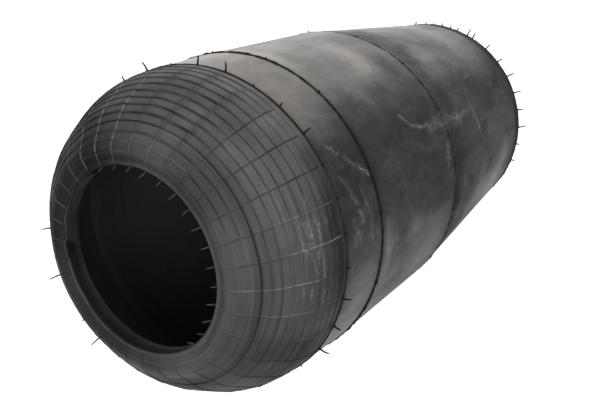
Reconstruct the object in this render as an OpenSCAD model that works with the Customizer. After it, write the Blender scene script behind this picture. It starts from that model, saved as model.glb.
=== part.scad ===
// Rubber bellows of a rolling-lobe air suspension spring, as it leaves its mould.
// The axis is Z. The foot bead's face stands on Z = 0 and the mouth bead's face is at the top.
// A moulded wall runs between two wire-cored beads. Every layer of that wall is a solid of its own,
// and the two cord plies turn back round the bead cores.

/* [Sleeve] */
// Overall height, from the foot bead's face to the mouth bead's face
height = 515; // [495:1:560]
// Outside diameter of the straight middle of the sleeve
sleeve_d = 244; // [240:1:252]
// Outside diameter at the rim, where the sleeve turns in to the foot bead
rim_d = 211; // [208:1:222]
// Height of that rim above the foot bead's face
rim_h = 45; // [42:1:56]
// Depth of the upper mould seam below the mouth bead's face
upper_seam_drop = 118; // [108:1:150]
// Depth of the lower mould seam below the mouth bead's face
lower_seam_drop = 254; // [200:1:330]

/* [Mouth dome] */
// Bore of the mouth bead, where it seats on the bead plate
mouth_d = 132; // [128:1:136]
// Place of the bend between crown and shoulder, as a share of the way from face corner to sleeve side
crown_share = 0.5; // [0.48:0.01:0.52]
// Depth of that bend below the bead face
crown_drop = 17.4; // [16.8:0.2:18]
// How far inside the sleeve's side the bend between shoulder and dome side lies
shoulder_in = 4; // [3:0.5:6]
// Depth of that bend below the bead face
shoulder_drop = 48; // [46:1:50]
// How far inside the sleeve's side the dome's parting ring lies
parting_in = 2; // [1:0.5:2.5]
// Depth of the parting ring below the bead face
parting_drop = 71; // [64:1:80]

/* [Foot dome] */
// Bore of the foot bead, where it seats on the piston
foot_bore_d = 112; // [108:1:116]
// Place of the bend between foot cone and foot side, as a share of the way from face corner to rim
foot_crown_share = 0.74; // [0.68:0.01:0.8]
// Height of that bend above the foot bead's face
foot_crown_rise = 20; // [18:1:23]

/* [Wall layers] */
// Thickness of the outer rubber cover
cover_t = 2.5; // [2.2:0.1:3]
// Thickness of one rubberised cord ply
ply_t = 0.9; // [0.7:0.1:1]
// Thickness of the airtight inner liner
liner_t = 1.5; // [1:0.1:2.2]
// Gap left between layers that are vulcanised together
bond = 0.05; // [0.03:0.01:0.1]

/* [Beads] */
// Width of a bead's face, from its bore to its outer corner
face_w = 13.5; // [12.5:0.5:15]
// Diameter of one bead wire
wire_d = 2.2; // [1.8:0.1:2.3]
// Thickness of the tape wound round the wire bundle
wrap_t = 0.25; // [0.2:0.05:0.4]
// Thickness of the bead strip that covers the seat
strip_t = 1.2; // [1:0.1:1.6]
// Gap round the bead pieces, which move with their bead
seat_gap = 0.3; // [0.3:0.05:0.4]
// Rounding of the bead's outer lip
lip_round = 4.5; // [3:0.5:5]
// Rounding of the bead's inner toe
toe_round = 2; // [1:0.5:3]
// Length of the bead strip down the crown cone
strip_len = 17.4; // [16:0.2:18]
// Width of the groove between the bead strip and the cover
groove_w = 0.8; // [0.6:0.1:1.2]
// How far the turned-back ply ends stop short of the bead strip's edge
turn_up_short = 2.4; // [2:0.2:5]

/* [Mould marks] */
// Number of fine moulded ribs that run from the lip to the parting ring
rib_count = 32; // [16:16:48]
// Width of a moulded rib or ring
rib_w = 0.9; // [0.6:0.1:1.2]
// Height of a moulded rib or ring
rib_h = 0.5; // [0.3:0.1:0.8]
// Distance from the lip's edge to the first moulded ring
first_ring = 5.6; // [5:0.2:6.4]
// Spacing of the moulded rings along the dome
ring_pitch = 6.8; // [6.6:0.1:7]
// Width of the flash left at a parting line
flash_w = 1; // [0.6:0.1:1.6]
// Height of the flash left at a parting line
flash_h = 0.8; // [0.4:0.1:1.2]
// Diameter of a rubber vent hair
hair_d = 1.2; // [0.8:0.1:1.6]
// Length of the vent hairs round the dome's parting ring
shoulder_hair_len = 9; // [4:0.5:12]
// Number of vent hairs round the rim
rim_hair_count = 36; // [18:18:54]
// Length of the vent hairs round the rim
rim_hair_len = 6; // [3:0.5:9]
// Length of the vent nubs on the two mould seams
nub_len = 1.5; // [1:0.1:3]
// Number of vent nubs on each mould seam
nub_count = 16; // [8:8:32]

/* [Hidden] */
$fn = 96;
// Angle between the points of a rounded stretch
arc_step = 4;
// Rings of wire round the middle wire of a bead bundle
bundle_rings = 1;
// Rounding of each bend of the wall's outside, from mouth to foot
face_round = 12;
crown_round = 40;
shoulder_round = 48;
lower_seam_round = 40;
rim_round = 16;
foot_crown_round = 25;
// Rounding where a ply leaves the bead and joins the wall
join_round = 8;
// Distance past the bead strip at which the plies reach their depth in the wall
join_past = 0.8;
// Share of a rib's width that its top keeps
rib_top = 0.5;

// Depths of the layers below the outside, each pair being a layer's two faces
outer_ply = [cover_t + bond, cover_t + bond + ply_t];
inner_ply = [outer_ply[1] + bond, outer_ply[1] + bond + ply_t];
liner = [inner_ply[1] + bond, inner_ply[1] + bond + liner_t];
// Distances of the layers from the middle of a bead core
wire_pitch = wire_d + bond;
bundle_r = bundle_rings * wire_pitch + wire_d / 2;
wrap_r = bundle_r + bond + wrap_t;
outer_hook = [wrap_r + seat_gap, wrap_r + seat_gap + ply_t];
inner_hook = [outer_hook[1] + bond, outer_hook[1] + bond + ply_t];
strip_in = inner_hook[1] + seat_gap;
bead_half = strip_in + strip_t;

turn_up_len = strip_len - turn_up_short;

// Radii of the wall's bends, from mouth to foot
face_r = mouth_d / 2 + face_w;
sleeve_r = sleeve_d / 2;
crown_r = face_r + (sleeve_r - face_r) * crown_share;
shoulder_r = sleeve_r - shoulder_in;
parting_r = sleeve_r - parting_in;
rim_r = rim_d / 2;
foot_face_r = foot_bore_d / 2 + face_w;
foot_crown_r = foot_face_r + (rim_r - foot_face_r) * foot_crown_share;
// Each end of the sleeve: bore, face, bend radius, bend depth, all seen from the end's own face
mouth_end = [mouth_d / 2, face_r, crown_r, crown_drop];
foot_end = [foot_bore_d / 2, foot_face_r, foot_crown_r, foot_crown_rise];

// Corners of the wall's outside from mouth to foot, each with the rounding asked for
wall_corners = [
    [mouth_d / 2 + lip_round, height, 0],
    [face_r, height, face_round],
    [crown_r, height - crown_drop, crown_round],
    [shoulder_r, height - shoulder_drop, shoulder_round],
    [parting_r, height - parting_drop, 0],
    [sleeve_r, height - upper_seam_drop, 0],
    [sleeve_r, height - lower_seam_drop, lower_seam_round],
    [rim_r, rim_h, rim_round],
    [foot_crown_r, foot_crown_rise, foot_crown_round],
    [foot_face_r, 0, face_round],
    [foot_bore_d / 2 + lip_round, 0, 0],
];

// Plane geometry
function flat(v) = [v[0], v[1]];
function unit(v) = v / norm(v);
function left(v) = [-v[1], v[0]];
function turned(v, a) = [v[0] * cos(a) - v[1] * sin(a), v[0] * sin(a) + v[1] * cos(a)];
function cross2(a, b) = a[0] * b[1] - a[1] * b[0];
function back(list) = [for (i = [len(list) - 1 : -1 : 0]) list[i]];

// Points of a corner b between a and c, rounded to the radius in b[2]
function rounded_corner(a, b, c) =
    let (
        d1 = unit(flat(b) - flat(a)),
        d2 = unit(flat(c) - flat(b)),
        turn = acos(max(-1, min(1, d1 * d2))),
        side = cross2(d1, d2) < 0 ? 1 : -1,
        steps = max(1, ceil(turn / arc_step)),
        start = flat(b) - d1 * b[2] * tan(turn / 2),
        centre = start - left(d1) * side * b[2]
    )
    b[2] <= 0 || turn < 0.2
        ? [flat(b)]
        : [for (i = [0 : steps]) centre + turned(left(d1), -side * turn * i / steps) * side * b[2]];

// Points of a line through corners [r, z, rounding]
function rounded(v) = [
    flat(v[0]),
    for (i = [1 : len(v) - 2]) each rounded_corner(v[i - 1], v[i], v[i + 1]),
    flat(v[len(v) - 1]),
];

// Corner b of a line a, b, c, moved to a depth below the line's left side
function inset(a, b, c, depth) =
    let (
        n1 = left(unit(flat(b) - flat(a))),
        n2 = left(unit(flat(c) - flat(b))),
        p = flat(b) - (n1 + n2) * depth / (1 + n1 * n2)
    )
    [p[0], p[1], max(0, b[2] - depth)];

// A corner's rounding, limited so that its curve takes at most half of either side
function eased(a, b, c) =
    let (
        side_1 = flat(b) - flat(a),
        side_2 = flat(c) - flat(b),
        turn = acos(max(-1, min(1, unit(side_1) * unit(side_2))))
    )
    [b[0], b[1], turn < 0.2 ? 0 : min(b[2], min(norm(side_1), norm(side_2)) / 2 / tan(turn / 2))];

// The wall's corners from face corner to face corner, with roundings that fit between them
wall = [
    for (i = [1 : len(wall_corners) - 2]) eased(wall_corners[i - 1], wall_corners[i], wall_corners[i + 1])
];
last_wall = len(wall) - 1;

// Corners of the wall between the two crown cones, at a depth below its outside
function wall_at(depth) = [for (i = [1 : last_wall - 1]) inset(wall[i - 1], wall[i], wall[i + 1], depth)];

// A point on an end's cone, at a distance q from the face corner and a depth below the cone
function on_cone(end, q, depth) =
    let (along = unit([end[2] - end[1], -end[3]]))
    [end[1], 0] + along * q - left(along) * depth;

// The face corner of an end at a depth below its outside
function face_corner(end, depth) =
    inset([end[0], 0], [end[1], 0, face_round], [end[2], -end[3]], depth);

// Middle of an end's bead core
function core(end) = [end[0] + bead_half, -bead_half];

// Corners of a ply's face round an end's core: turned-up end, face, bore side, toe side, wall
function hook(end, reach, depth) =
    let (
        c = core(end),
        tip = on_cone(end, turn_up_len, bead_half - reach),
        join = on_cone(end, strip_len + join_past, depth)
    )
    [
        [tip[0], tip[1], 0],
        face_corner(end, bead_half - reach),
        [c[0] - reach, c[1] + reach, reach],
        [c[0] - reach, c[1] - reach, reach],
        [c[0] + wrap_r, c[1] - reach, 0],
        [join[0], join[1], max(0.5, join_round - depth)],
    ];

// Moves corners from an end's own face to the part's axes
function at_mouth(v) = [for (p = v) [p[0], height + p[1], p[2]]];
function at_foot(v) = [for (p = v) [p[0], -p[1], p[2]]];

// A ply's whole face, from one turned-up end to the other
function ply_face(reach, depth) = rounded(concat(
    at_mouth(hook(mouth_end, reach, depth)),
    wall_at(depth),
    back(at_foot(hook(foot_end, reach, depth)))
));

// Where the cover starts on an end's cone
cover_start = strip_len + groove_w;

// A face of the cover between the two grooves
function cover_face(depth) =
    let (
        top = on_cone(mouth_end, cover_start, depth),
        bottom = on_cone(foot_end, cover_start, depth)
    )
    rounded(concat(
        at_mouth([[top[0], top[1], 0]]), wall_at(depth), at_foot([[bottom[0], bottom[1], 0]])
    ));

// A face of the liner, which ends under the bead cores
function liner_end(end, reach, depth) =
    let (c = core(end), join = on_cone(end, strip_len + join_past, depth))
    [
        [c[0] + seat_gap, c[1] - reach, 0],
        [c[0] + wrap_r, c[1] - reach, 0],
        [join[0], join[1], max(0.5, join_round - depth)],
    ];
function liner_face(reach, depth) = rounded(concat(
    at_mouth(liner_end(mouth_end, reach, depth)),
    wall_at(depth),
    back(at_foot(liner_end(foot_end, reach, depth)))
));

// The point and direction at a distance along a line of points
function walk(points, distance, i = 0) =
    let (step = points[i + 1] - points[i])
    distance <= norm(step) || i >= len(points) - 2
        ? [points[i] + unit(step) * distance, unit(step)]
        : walk(points, distance - norm(step), i + 1);

// Length of a line of points
function line_len(points, i = 0) =
    i >= len(points) - 1 ? 0 : norm(points[i + 1] - points[i]) + line_len(points, i + 1);

// The mouth's outside from its lip to the parting ring, and the foot's cone up to its rim
mouth_line = rounded(concat([[mouth_end[0] + lip_round, height, 0]], [for (i = [0 : 3]) wall[i]]));
foot_line = rounded(back([for (i = [last_wall - 2 : last_wall]) wall[i]]));
// Distance along the mouth's outside from the lip to the groove
groove_at = face_w - lip_round + strip_len;
// Number of the first moulded ring past the groove, and of the rings up to the parting ring
crown_first = ceil((groove_at + groove_w + rib_w - first_ring) / ring_pitch);
face_ring_count = floor((groove_at - rib_w - first_ring) / ring_pitch) + 1;
crown_last = floor((line_len(mouth_line) - flash_w - rib_w - first_ring) / ring_pitch);
foot_ring_count = 3;

module turn(points) rotate_extrude() polygon(points);

module to_mouth() translate([0, 0, height]) children();

module to_foot() mirror([0, 0, 1]) children();

// A layer of the sleeve between two faces
module layer(face_a, face_b) turn(concat(face_a, back(face_b)));

module outer_cover() color("#26282a") layer(cover_face(0), cover_face(cover_t));

module outer_cord_ply()
    color("#3d3a33") layer(ply_face(outer_hook[0], outer_ply[0]), ply_face(outer_hook[1], outer_ply[1]));

module inner_cord_ply()
    color("#4a463d") layer(ply_face(inner_hook[0], inner_ply[0]), ply_face(inner_hook[1], inner_ply[1]));

module inner_liner() color("#161718") layer(liner_face(strip_in, liner[0]), liner_face(bead_half, liner[1]));

// The rubber strip that covers a bead from its toe, over the lip, to the groove on the cone
module bead_strip(end) {
    c = core(end);
    edge_in = on_cone(end, strip_len, strip_t);
    edge_out = on_cone(end, strip_len, 0);
    inner = rounded([
        [c[0], c[1] - strip_in, 0],
        [c[0] - strip_in, c[1] - strip_in, strip_in],
        [c[0] - strip_in, c[1] + strip_in, strip_in],
        face_corner(end, strip_t),
        [edge_in[0], edge_in[1], 0],
    ]);
    outer = rounded([
        [c[0], c[1] - bead_half, 0],
        [end[0], c[1] - bead_half, toe_round],
        [end[0], 0, lip_round],
        face_corner(end, 0),
        [edge_out[0], edge_out[1], 0],
    ]);
    turn(concat(inner, back(outer)));
}

// The hard rubber wedge between a bead core and the ply ends turned back over it
module bead_filler(end) {
    c = core(end);
    reach = outer_hook[0] - seat_gap;
    tip = on_cone(end, turn_up_len, bead_half - reach);
    join = on_cone(end, strip_len + join_past, cover_t);
    root = [c[0] + wrap_r, c[1] - reach];
    along = unit(join - root);
    low_tip = root + along * (tip[0] - root[0]) / along[0];
    top = rounded([[c[0], c[1] + reach, 0], face_corner(end, bead_half - reach), tip]);
    rotate_extrude() difference() {
        polygon(concat(top, [low_tip, root, [c[0], c[1] - reach]]));
        translate(c) circle(r = wrap_r + bond);
        translate(c - [bead_half, bead_half]) square([bead_half + wrap_r / 2, 2 * bead_half]);
    }
}

// The tape round a wire bundle
module bead_wrap(end) {
    rotate_extrude() translate(core(end)) difference() {
        circle(r = wrap_r);
        circle(r = bundle_r + bond);
    }
}

// The hexagonal bundle of bead wires
module bead_wires(end) {
    rotate_extrude() for (row = [-bundle_rings : bundle_rings]) {
        in_row = 2 * bundle_rings + 1 - abs(row);
        for (i = [0 : in_row - 1])
            translate(core(end) + wire_pitch * [i - (in_row - 1) / 2, row * sin(60)])
                circle(d = wire_d, $fn = 24);
    }
}

module mouth_bead_strip() color("#232425") to_mouth() bead_strip(mouth_end);
module mouth_bead_filler() color("#1b1c1d") to_mouth() bead_filler(mouth_end);
module mouth_bead_wrap() color("#5b5a52") to_mouth() bead_wrap(mouth_end);
module mouth_bead_wires() color("#b08d57") to_mouth() bead_wires(mouth_end);
module foot_bead_strip() color("#232425") to_foot() bead_strip(foot_end);
module foot_bead_filler() color("#1b1c1d") to_foot() bead_filler(foot_end);
module foot_bead_wrap() color("#5b5a52") to_foot() bead_wrap(foot_end);
module foot_bead_wires() color("#b08d57") to_foot() bead_wires(foot_end);

// One moulded ring at a distance along a line of the outside, with the outside on the line's given side
module ring_at(line, distance, side, w = rib_w, h = rib_h) {
    at = walk(line, distance);
    out = left(at[1]) * side;
    foot = at[0] + out * bond;
    turn([
        foot - at[1] * w / 2,
        foot - at[1] * w * rib_top / 2 + out * h,
        foot + at[1] * w * rib_top / 2 + out * h,
        foot + at[1] * w / 2,
    ]);
}

// Distance of each point of a line from its start
function gap_after(points, i) = norm(points[min(i + 1, len(points) - 1)] - points[i]);
function distances(points) =
    [for (i = 0, sum = 0; i < len(points); sum = sum + gap_after(points, i), i = i + 1) sum];

// Part of a line between two distances
function stretch(line, from, to) =
    let (at = distances(line))
    [
        walk(line, from)[0],
        for (i = [0 : len(line) - 1]) if (at[i] > from + bond && at[i] < to - bond) line[i],
        walk(line, to)[0],
    ];

// A line moved sideways by a height
function raised(line, height) = [
    line[0] + left(unit(line[1] - line[0])) * height,
    for (i = [1 : len(line) - 2]) flat(inset(line[i - 1], [line[i][0], line[i][1], 0], line[i + 1], -height)),
    line[len(line) - 1] + left(unit(line[len(line) - 1] - line[len(line) - 2])) * height,
];

// The moulded ribs that follow a line of the outside between two distances
module ribs_on(line, from, to, side) {
    under = stretch(line, from, to);
    low = raised(under, side * bond);
    high = raised(under, side * (bond + rib_h));
    for (i = [0 : rib_count - 1])
        rotate([90, 0, 360 * i / rib_count])
            linear_extrude(rib_w, center = true) polygon(concat(low, back(high)));
}

module mouth_face_rings()
    color("#303132") for (i = [0 : face_ring_count - 1]) ring_at(mouth_line, first_ring + i * ring_pitch, 1);

module mouth_face_ribs() color("#303132") ribs_on(mouth_line, first_ring - rib_w / 2, groove_at - rib_w, 1);

module crown_rings()
    color("#303132") for (i = [crown_first : crown_last]) ring_at(mouth_line, first_ring + i * ring_pitch, 1);

module crown_ribs()
    color("#303132") ribs_on(
        mouth_line, groove_at + groove_w + rib_w,
        first_ring + crown_last * ring_pitch + rib_w, 1
    );

module foot_rings()
    color("#303132") for (i = [0 : foot_ring_count - 1])
        ring_at(foot_line, cover_start + (i + 1) * ring_pitch / 2, -1);

module foot_ribs()
    color("#303132") ribs_on(
        foot_line, cover_start + rib_w,
        cover_start + (foot_ring_count + 1) * ring_pitch / 2, -1
    );

// The flash left standing at a mould joint, on a wall of radius r
module flash(r, z) {
    foot = r + bond;
    turn([
        [foot, z - flash_w / 2], [foot + flash_h, z - flash_w * rib_top / 2],
        [foot + flash_h, z + flash_w * rib_top / 2], [foot, z + flash_w / 2],
    ]);
}

module parting_flash() color("#1d1e1f") flash(parting_r, height - parting_drop);
module upper_seam_flash() color("#1d1e1f") flash(sleeve_r, height - upper_seam_drop);
module lower_seam_flash() color("#1d1e1f") flash(sleeve_r, height - lower_seam_drop);
module rim_flash() color("#1d1e1f") flash(rim_r, rim_h);

// Rubber hairs that stand out from a flash ring of radius r
module hairs(r, z, count, length) {
    for (i = [0 : count - 1])
        rotate([0, 0, 360 * i / count])
            translate([r + 2 * bond + flash_h, 0, z])
                rotate([0, 90, 0]) cylinder(d = hair_d, h = length, $fn = 16);
}

module shoulder_hairs()
    color("#1d1e1f") hairs(parting_r, height - parting_drop, rib_count, shoulder_hair_len);
module upper_seam_nubs() color("#1d1e1f") hairs(sleeve_r, height - upper_seam_drop, nub_count, nub_len);
module lower_seam_nubs() color("#1d1e1f") hairs(sleeve_r, height - lower_seam_drop, nub_count, nub_len);
module rim_hairs() color("#1d1e1f") hairs(rim_r, rim_h, rim_hair_count, rim_hair_len);

outer_cover();
outer_cord_ply();
inner_cord_ply();
inner_liner();
mouth_bead_strip();
mouth_bead_filler();
mouth_bead_wrap();
mouth_bead_wires();
foot_bead_strip();
foot_bead_filler();
foot_bead_wrap();
foot_bead_wires();
mouth_face_rings();
mouth_face_ribs();
crown_rings();
crown_ribs();
foot_rings();
foot_ribs();
parting_flash();
upper_seam_flash();
lower_seam_flash();
rim_flash();
shoulder_hairs();
upper_seam_nubs();
lower_seam_nubs();
rim_hairs();
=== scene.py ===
"""Rubber bellows of a rolling-lobe air suspension spring, standing on its foot bead with its mouth up.

The CAD model gives the frame, and the pieces here are its rubber as it leaves the mould. Lengths are in
millimetres until a mesh is made. The axis is Z, and an angle runs from +X towards +Y.
"""
import math

import bpy
import numpy as np
from mathutils import Matrix


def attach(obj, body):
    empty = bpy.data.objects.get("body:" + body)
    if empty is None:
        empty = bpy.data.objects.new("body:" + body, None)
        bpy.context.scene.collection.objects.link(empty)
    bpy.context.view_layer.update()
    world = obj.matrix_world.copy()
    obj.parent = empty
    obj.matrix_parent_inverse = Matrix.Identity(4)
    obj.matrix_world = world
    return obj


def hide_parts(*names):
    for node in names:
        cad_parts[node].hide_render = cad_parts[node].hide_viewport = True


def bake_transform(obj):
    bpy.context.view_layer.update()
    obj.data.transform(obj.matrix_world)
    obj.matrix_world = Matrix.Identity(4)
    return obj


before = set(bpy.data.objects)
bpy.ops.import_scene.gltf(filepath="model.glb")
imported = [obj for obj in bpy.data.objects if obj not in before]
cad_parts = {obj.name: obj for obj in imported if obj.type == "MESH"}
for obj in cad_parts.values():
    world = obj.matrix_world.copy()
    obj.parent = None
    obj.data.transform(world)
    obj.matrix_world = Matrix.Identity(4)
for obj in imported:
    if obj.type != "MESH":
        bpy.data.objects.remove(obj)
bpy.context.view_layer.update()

MM = 0.001
HEIGHT = 515.0
# Corners of the wall's outside from the mouth's toe to the foot's toe: radius, height, rounding
OUTSIDE_CORNERS = (
    (73.3, 500.4, 0), (66, 500.4, 2), (66, 515, 3), (79.5, 515, 12), (100.75, 497.6, 40),
    (118, 467, 48), (120, 444, 0), (122, 397, 0), (122, 261, 40), (105.5, 45, 16), (96.14, 20, 25),
    (69.5, 0, 12), (56, 0, 4.5), (56, 14.6, 2), (63.3, 14.6, 0),
)
# Depths below the outside of the inner faces of the bead strips and the cover, and of both faces of the
# plies and the liner
STRIP_T, COVER_IN = 1.2, 2.5
OUTER_PLY, INNER_PLY, LINER = (2.55, 3.45), (3.5, 4.4), (4.45, 5.95)
# The same layers' reach from the middle of a bead's core, half the bead's height, and its taped core's radius
OUTER_HOOK, INNER_HOOK, LINER_HOOK = (3.95, 4.85), (4.9, 5.8), (6.1, 7.3)
BEAD_HALF, CORE_R = 7.3, 3.65
# Along a cone from its face corner: end of the bead strip, start of the cover, joint of the plies and
# their ends
STRIP_END, COVER_START, PLY_JOIN, PLY_END = 17.4, 18.2, 18.2, 15.0
MOUTH_CONE = np.array((79.5, 515.0)), np.array((100.75, 497.6))
FOOT_CONE = np.array((69.5, 0.0)), np.array((96.14, 20.0))
# Middles of both beads' cores
MOUTH_CORE, FOOT_CORE = np.array((73.3, 507.7)), np.array((63.3, 7.3))
# Roundings of a ply's face at the bead's face and on the wall, and how far the wall's own line stays off
# both ends of the cover
FACE_BEND, WALL_BEND, JOIN_GAP = 8, 4, 1.5
# The liner's edge from the middle of a core, and a length that is past the mouth's hook on all layers
LINER_EDGE, HOOK_RUN = 0.3, 60
# Radius on the mouth's face, just outside the lip, from which the way down is counted
FACE_R = 70.5
# Heights of the mould joints, and the radii from which their flash stands
PARTING_Z, PARTING_R = 444.0, 120.0
UPPER_SEAM_Z, UPPER_SEAM_R = 397.0, 122.0
LOWER_SEAM_Z, LOWER_SEAM_R = 261.0, 121.7
RIM_Z, RIM_R = 45.0, 105.5
# Height at which the dome hands over to the straight wall, and the wall to the foot dome
DOME_FOOT_Z, WALL_FOOT_Z = 446.0, 60.0
RIBS, RIM_HAIRS, NUBS = 32, 36, 16
# Rings of the mouth's face and the dome: the first one's distance from the lip, the pitch and the number
RING_FIRST, RING_PITCH, RING_COUNT = 5.6, 6.8, 14
FOOT_RINGS, FOOT_PITCH = 3, 3.4
# A moulded ridge's half width, where rows or columns of a mesh lie across it, and the room that it needs
RIDGE_HALF = 0.65
RIDGE_ROWS = np.array((-1.05, -0.65, -0.3, 0, 0.3, 0.65, 1.05))
RIDGE_ROOM = 1.2
# Columns between two ribs, and the distance from a rib that they count with, which is past every rib mark
BETWEEN_RIBS, FAR_OFF = 4, 9.0
# The groove between the mouth's bead strip and the cover
GROOVE_HALF, GROOVE_DEPTH = 1.3, 0.3


def unit(v):
    """v at length 1."""
    v = np.asarray(v, float)
    return v / np.linalg.norm(v)


def added(name, data):
    """A new object of its data in the scene."""
    made = bpy.data.objects.new(name, data)
    bpy.context.scene.collection.objects.link(made)
    return made


def set_axes(item, side, up, back, place):
    """Turns an object so that its X, Y and Z point along side, up and back, and puts it at a place."""
    turn = np.eye(4)
    turn[:3] = np.stack([side, up, back, place], -1)
    item.matrix_world = Matrix(turn.tolist())


# The camera

def photo_camera(eye, ahead, top, lens):
    """The photograph's camera, by the place of its eye, the way it looks and the way its picture's top
    points."""
    ahead, top = unit(ahead), unit(top)
    data = bpy.data.cameras.new("photo_camera")
    data.lens, data.sensor_width, data.clip_end = lens, 36, 20
    camera = added("photo_camera", data)
    set_axes(camera, np.cross(ahead, top), top, -ahead, eye)
    bpy.context.scene.camera = camera


EYE = np.array((-11.52, -409.21, 866.51)) * MM
AHEAD = np.array((-0.00351, 0.60180, -0.79864))
PICTURE_TOP = np.array((0.88674, -0.36730, -0.28068))
LENS = 48
photo_camera(EYE, AHEAD, PICTURE_TOP, LENS)


# The lines of the profile

# Distance in mm between the points of a profile line
LINE_STEP = 0.25


def rounded(corners):
    """The line through corners (radius, height, rounding), with each corner an arc that touches both its
    sides. The arc's radius is the rounding, or less where half the shorter side can't hold it."""
    points = [np.array(corners[0][:2], float)]
    for a, b, c in zip(corners, corners[1:], corners[2:]):
        a, radius, b, c = np.array(a[:2], float), b[2], np.array(b[:2], float), np.array(c[:2], float)
        into, out = unit(b - a), unit(c - b)
        turn = math.acos(float(np.clip(into @ out, -1, 1)))
        if radius == 0 or turn < 0.004:
            points.append(b)
            continue
        reach = min(radius * math.tan(turn / 2), np.linalg.norm(b - a) * 0.999, np.linalg.norm(c - b) * 0.999)
        radius = reach / math.tan(turn / 2)
        side = 1 if into[0] * out[1] - into[1] * out[0] > 0 else -1
        normal = np.array((-into[1], into[0])) * side
        angles = side * np.linspace(0, turn, max(3, int(radius * turn / LINE_STEP)))
        spoke = -normal * radius
        cos, sin = np.cos(angles), np.sin(angles)
        arc = np.stack([spoke[0] * cos - spoke[1] * sin, spoke[0] * sin + spoke[1] * cos], 1)
        points.extend(b - into * reach + normal * radius + arc)
    points.append(np.array(corners[-1][:2], float))
    points = np.array(points)
    along = lengths(points)
    keep = np.r_[True, np.diff(along) > 1e-6]
    points, along = points[keep], along[keep]
    return at_lengths(points, along, np.linspace(0, along[-1], int(along[-1] / LINE_STEP) + 1))


def lengths(line):
    """Distance of each point of a line from its start."""
    return np.r_[0, np.cumsum(np.linalg.norm(np.diff(line, axis=0), axis=1))]


def at_lengths(line, along, s):
    """Points of a line at distances s, where along says how far its own points lie from its start."""
    return np.stack([np.interp(s, along, line[:, 0]), np.interp(s, along, line[:, 1])], -1)


def place_on(line, s, depth=0.0):
    """Points of a line at distances s, moved by depth to its right, the inside of the wall."""
    along = lengths(line)
    ahead, behind = np.minimum(s + 0.5, along[-1]), np.maximum(s - 0.5, 0)
    way = at_lengths(line, along, ahead) - at_lengths(line, along, behind)
    way /= np.linalg.norm(way, axis=-1, keepdims=True)
    return at_lengths(line, along, s) - np.stack([-way[:, 1], way[:, 0]], -1) * np.reshape(depth, (-1, 1))


OUTSIDE = rounded(OUTSIDE_CORNERS)
OUTSIDE_S = lengths(OUTSIDE)


def nearest_s(point):
    """Distance along the outside of its point nearest to a given one."""
    return OUTSIDE_S[np.argmin(np.linalg.norm(OUTSIDE - np.array(point), axis=1))]


def height_s(z):
    """Distance along the outside, past the mouth's bead strip, at which it falls below height z."""
    return OUTSIDE_S[np.argmax((OUTSIDE[:, 1] < z) & (OUTSIDE_S > COVER_S))]


def on_cone(cone, q, depth=0.0):
    """Point at distance q down a cone from its face corner, at a depth below the cone."""
    along = unit(cone[1] - cone[0])
    inward = np.array((along[1], -along[0])) * (1 if cone[0][1] > cone[1][1] else -1)
    return cone[0] + along * q + inward * depth


LIP_S = nearest_s((FACE_R, HEIGHT))
STRIP_S = nearest_s(on_cone(MOUTH_CONE, STRIP_END))
COVER_S = nearest_s(on_cone(MOUTH_CONE, COVER_START))
GROOVE_S = (STRIP_S + COVER_S) / 2
DOME_S = height_s(DOME_FOOT_Z)
UPPER_SEAM_S = height_s(UPPER_SEAM_Z)
LOWER_SEAM_S = height_s(LOWER_SEAM_Z)
WALL_FOOT_S = height_s(WALL_FOOT_Z)
PARTING_S = height_s(PARTING_Z)
RIM_S = height_s(RIM_Z)
FOOT_COVER_S = nearest_s(on_cone(FOOT_CONE, COVER_START))
FOOT_STRIP_S = nearest_s(on_cone(FOOT_CONE, STRIP_END))


def hook(core, way, cone, reach, depth):
    """Corners of a ply's face round a bead's core: turned-back end, face corner, bore side, toe side, wall.
    way is 1 for a bead whose face looks up and -1 for one whose face looks down."""
    tip = on_cone(cone, PLY_END, BEAD_HALF - reach)
    join = on_cone(cone, PLY_JOIN, depth)
    top = core[1] + way * reach
    slope = unit(cone[1] - cone[0])
    corner = tip - slope * (tip[1] - top) / slope[1]
    return [
        (*tip, 0), (*corner, FACE_BEND), (core[0] - reach, top, reach),
        (core[0] - reach, core[1] - way * reach, reach), (core[0] + CORE_R, core[1] - way * reach, 0),
        (*join, WALL_BEND),
    ]


def wall_line(depth):
    """The wall between the two covers' edges at a depth below its outside, as points."""
    s = np.arange(COVER_S + JOIN_GAP, FOOT_COVER_S - JOIN_GAP, 2 * LINE_STEP)
    return place_on(OUTSIDE, s, depth)


def ply_line(reach, depth):
    """A ply's whole face as points: round the mouth's core, down the wall and round the foot's core."""
    mouth = rounded(hook(MOUTH_CORE, 1, MOUTH_CONE, reach, depth))
    foot = rounded(hook(FOOT_CORE, -1, FOOT_CONE, reach, depth))
    return np.concatenate([mouth, wall_line(depth), foot[::-1]])


def liner_line(reach, depth):
    """The liner's whole face as points: from under the mouth's core down the wall to above the foot's
    core."""
    ends = []
    for core, way, cone in ((MOUTH_CORE, -1, MOUTH_CONE), (FOOT_CORE, 1, FOOT_CONE)):
        z = core[1] + way * reach
        corners = (core[0] + LINER_EDGE, z, 0), (core[0] + CORE_R, z, 0), (*on_cone(cone, PLY_JOIN, depth), 0)
        ends.append(rounded(corners))
    return np.concatenate([ends[0], wall_line(depth), ends[1][::-1]])


def part_of(line, above, below, count):
    """The stretch of a line from mouth to foot between two heights, with both its cuts exact, as count
    points. None for a height leaves that end uncut."""
    along = lengths(line)
    cut = lambda z: along[np.argmax((line[:, 1] < z) & (along > HOOK_RUN))]
    start, end = 0.0 if below is None else cut(below), along[-1] if above is None else cut(above)
    points = at_lengths(line, along, np.linspace(start, end, count))
    if below is not None:
        points[0, 1] = below
    if above is not None:
        points[-1, 1] = above
    return points


# The relief of the outside

mould = np.random.default_rng(27)
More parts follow.
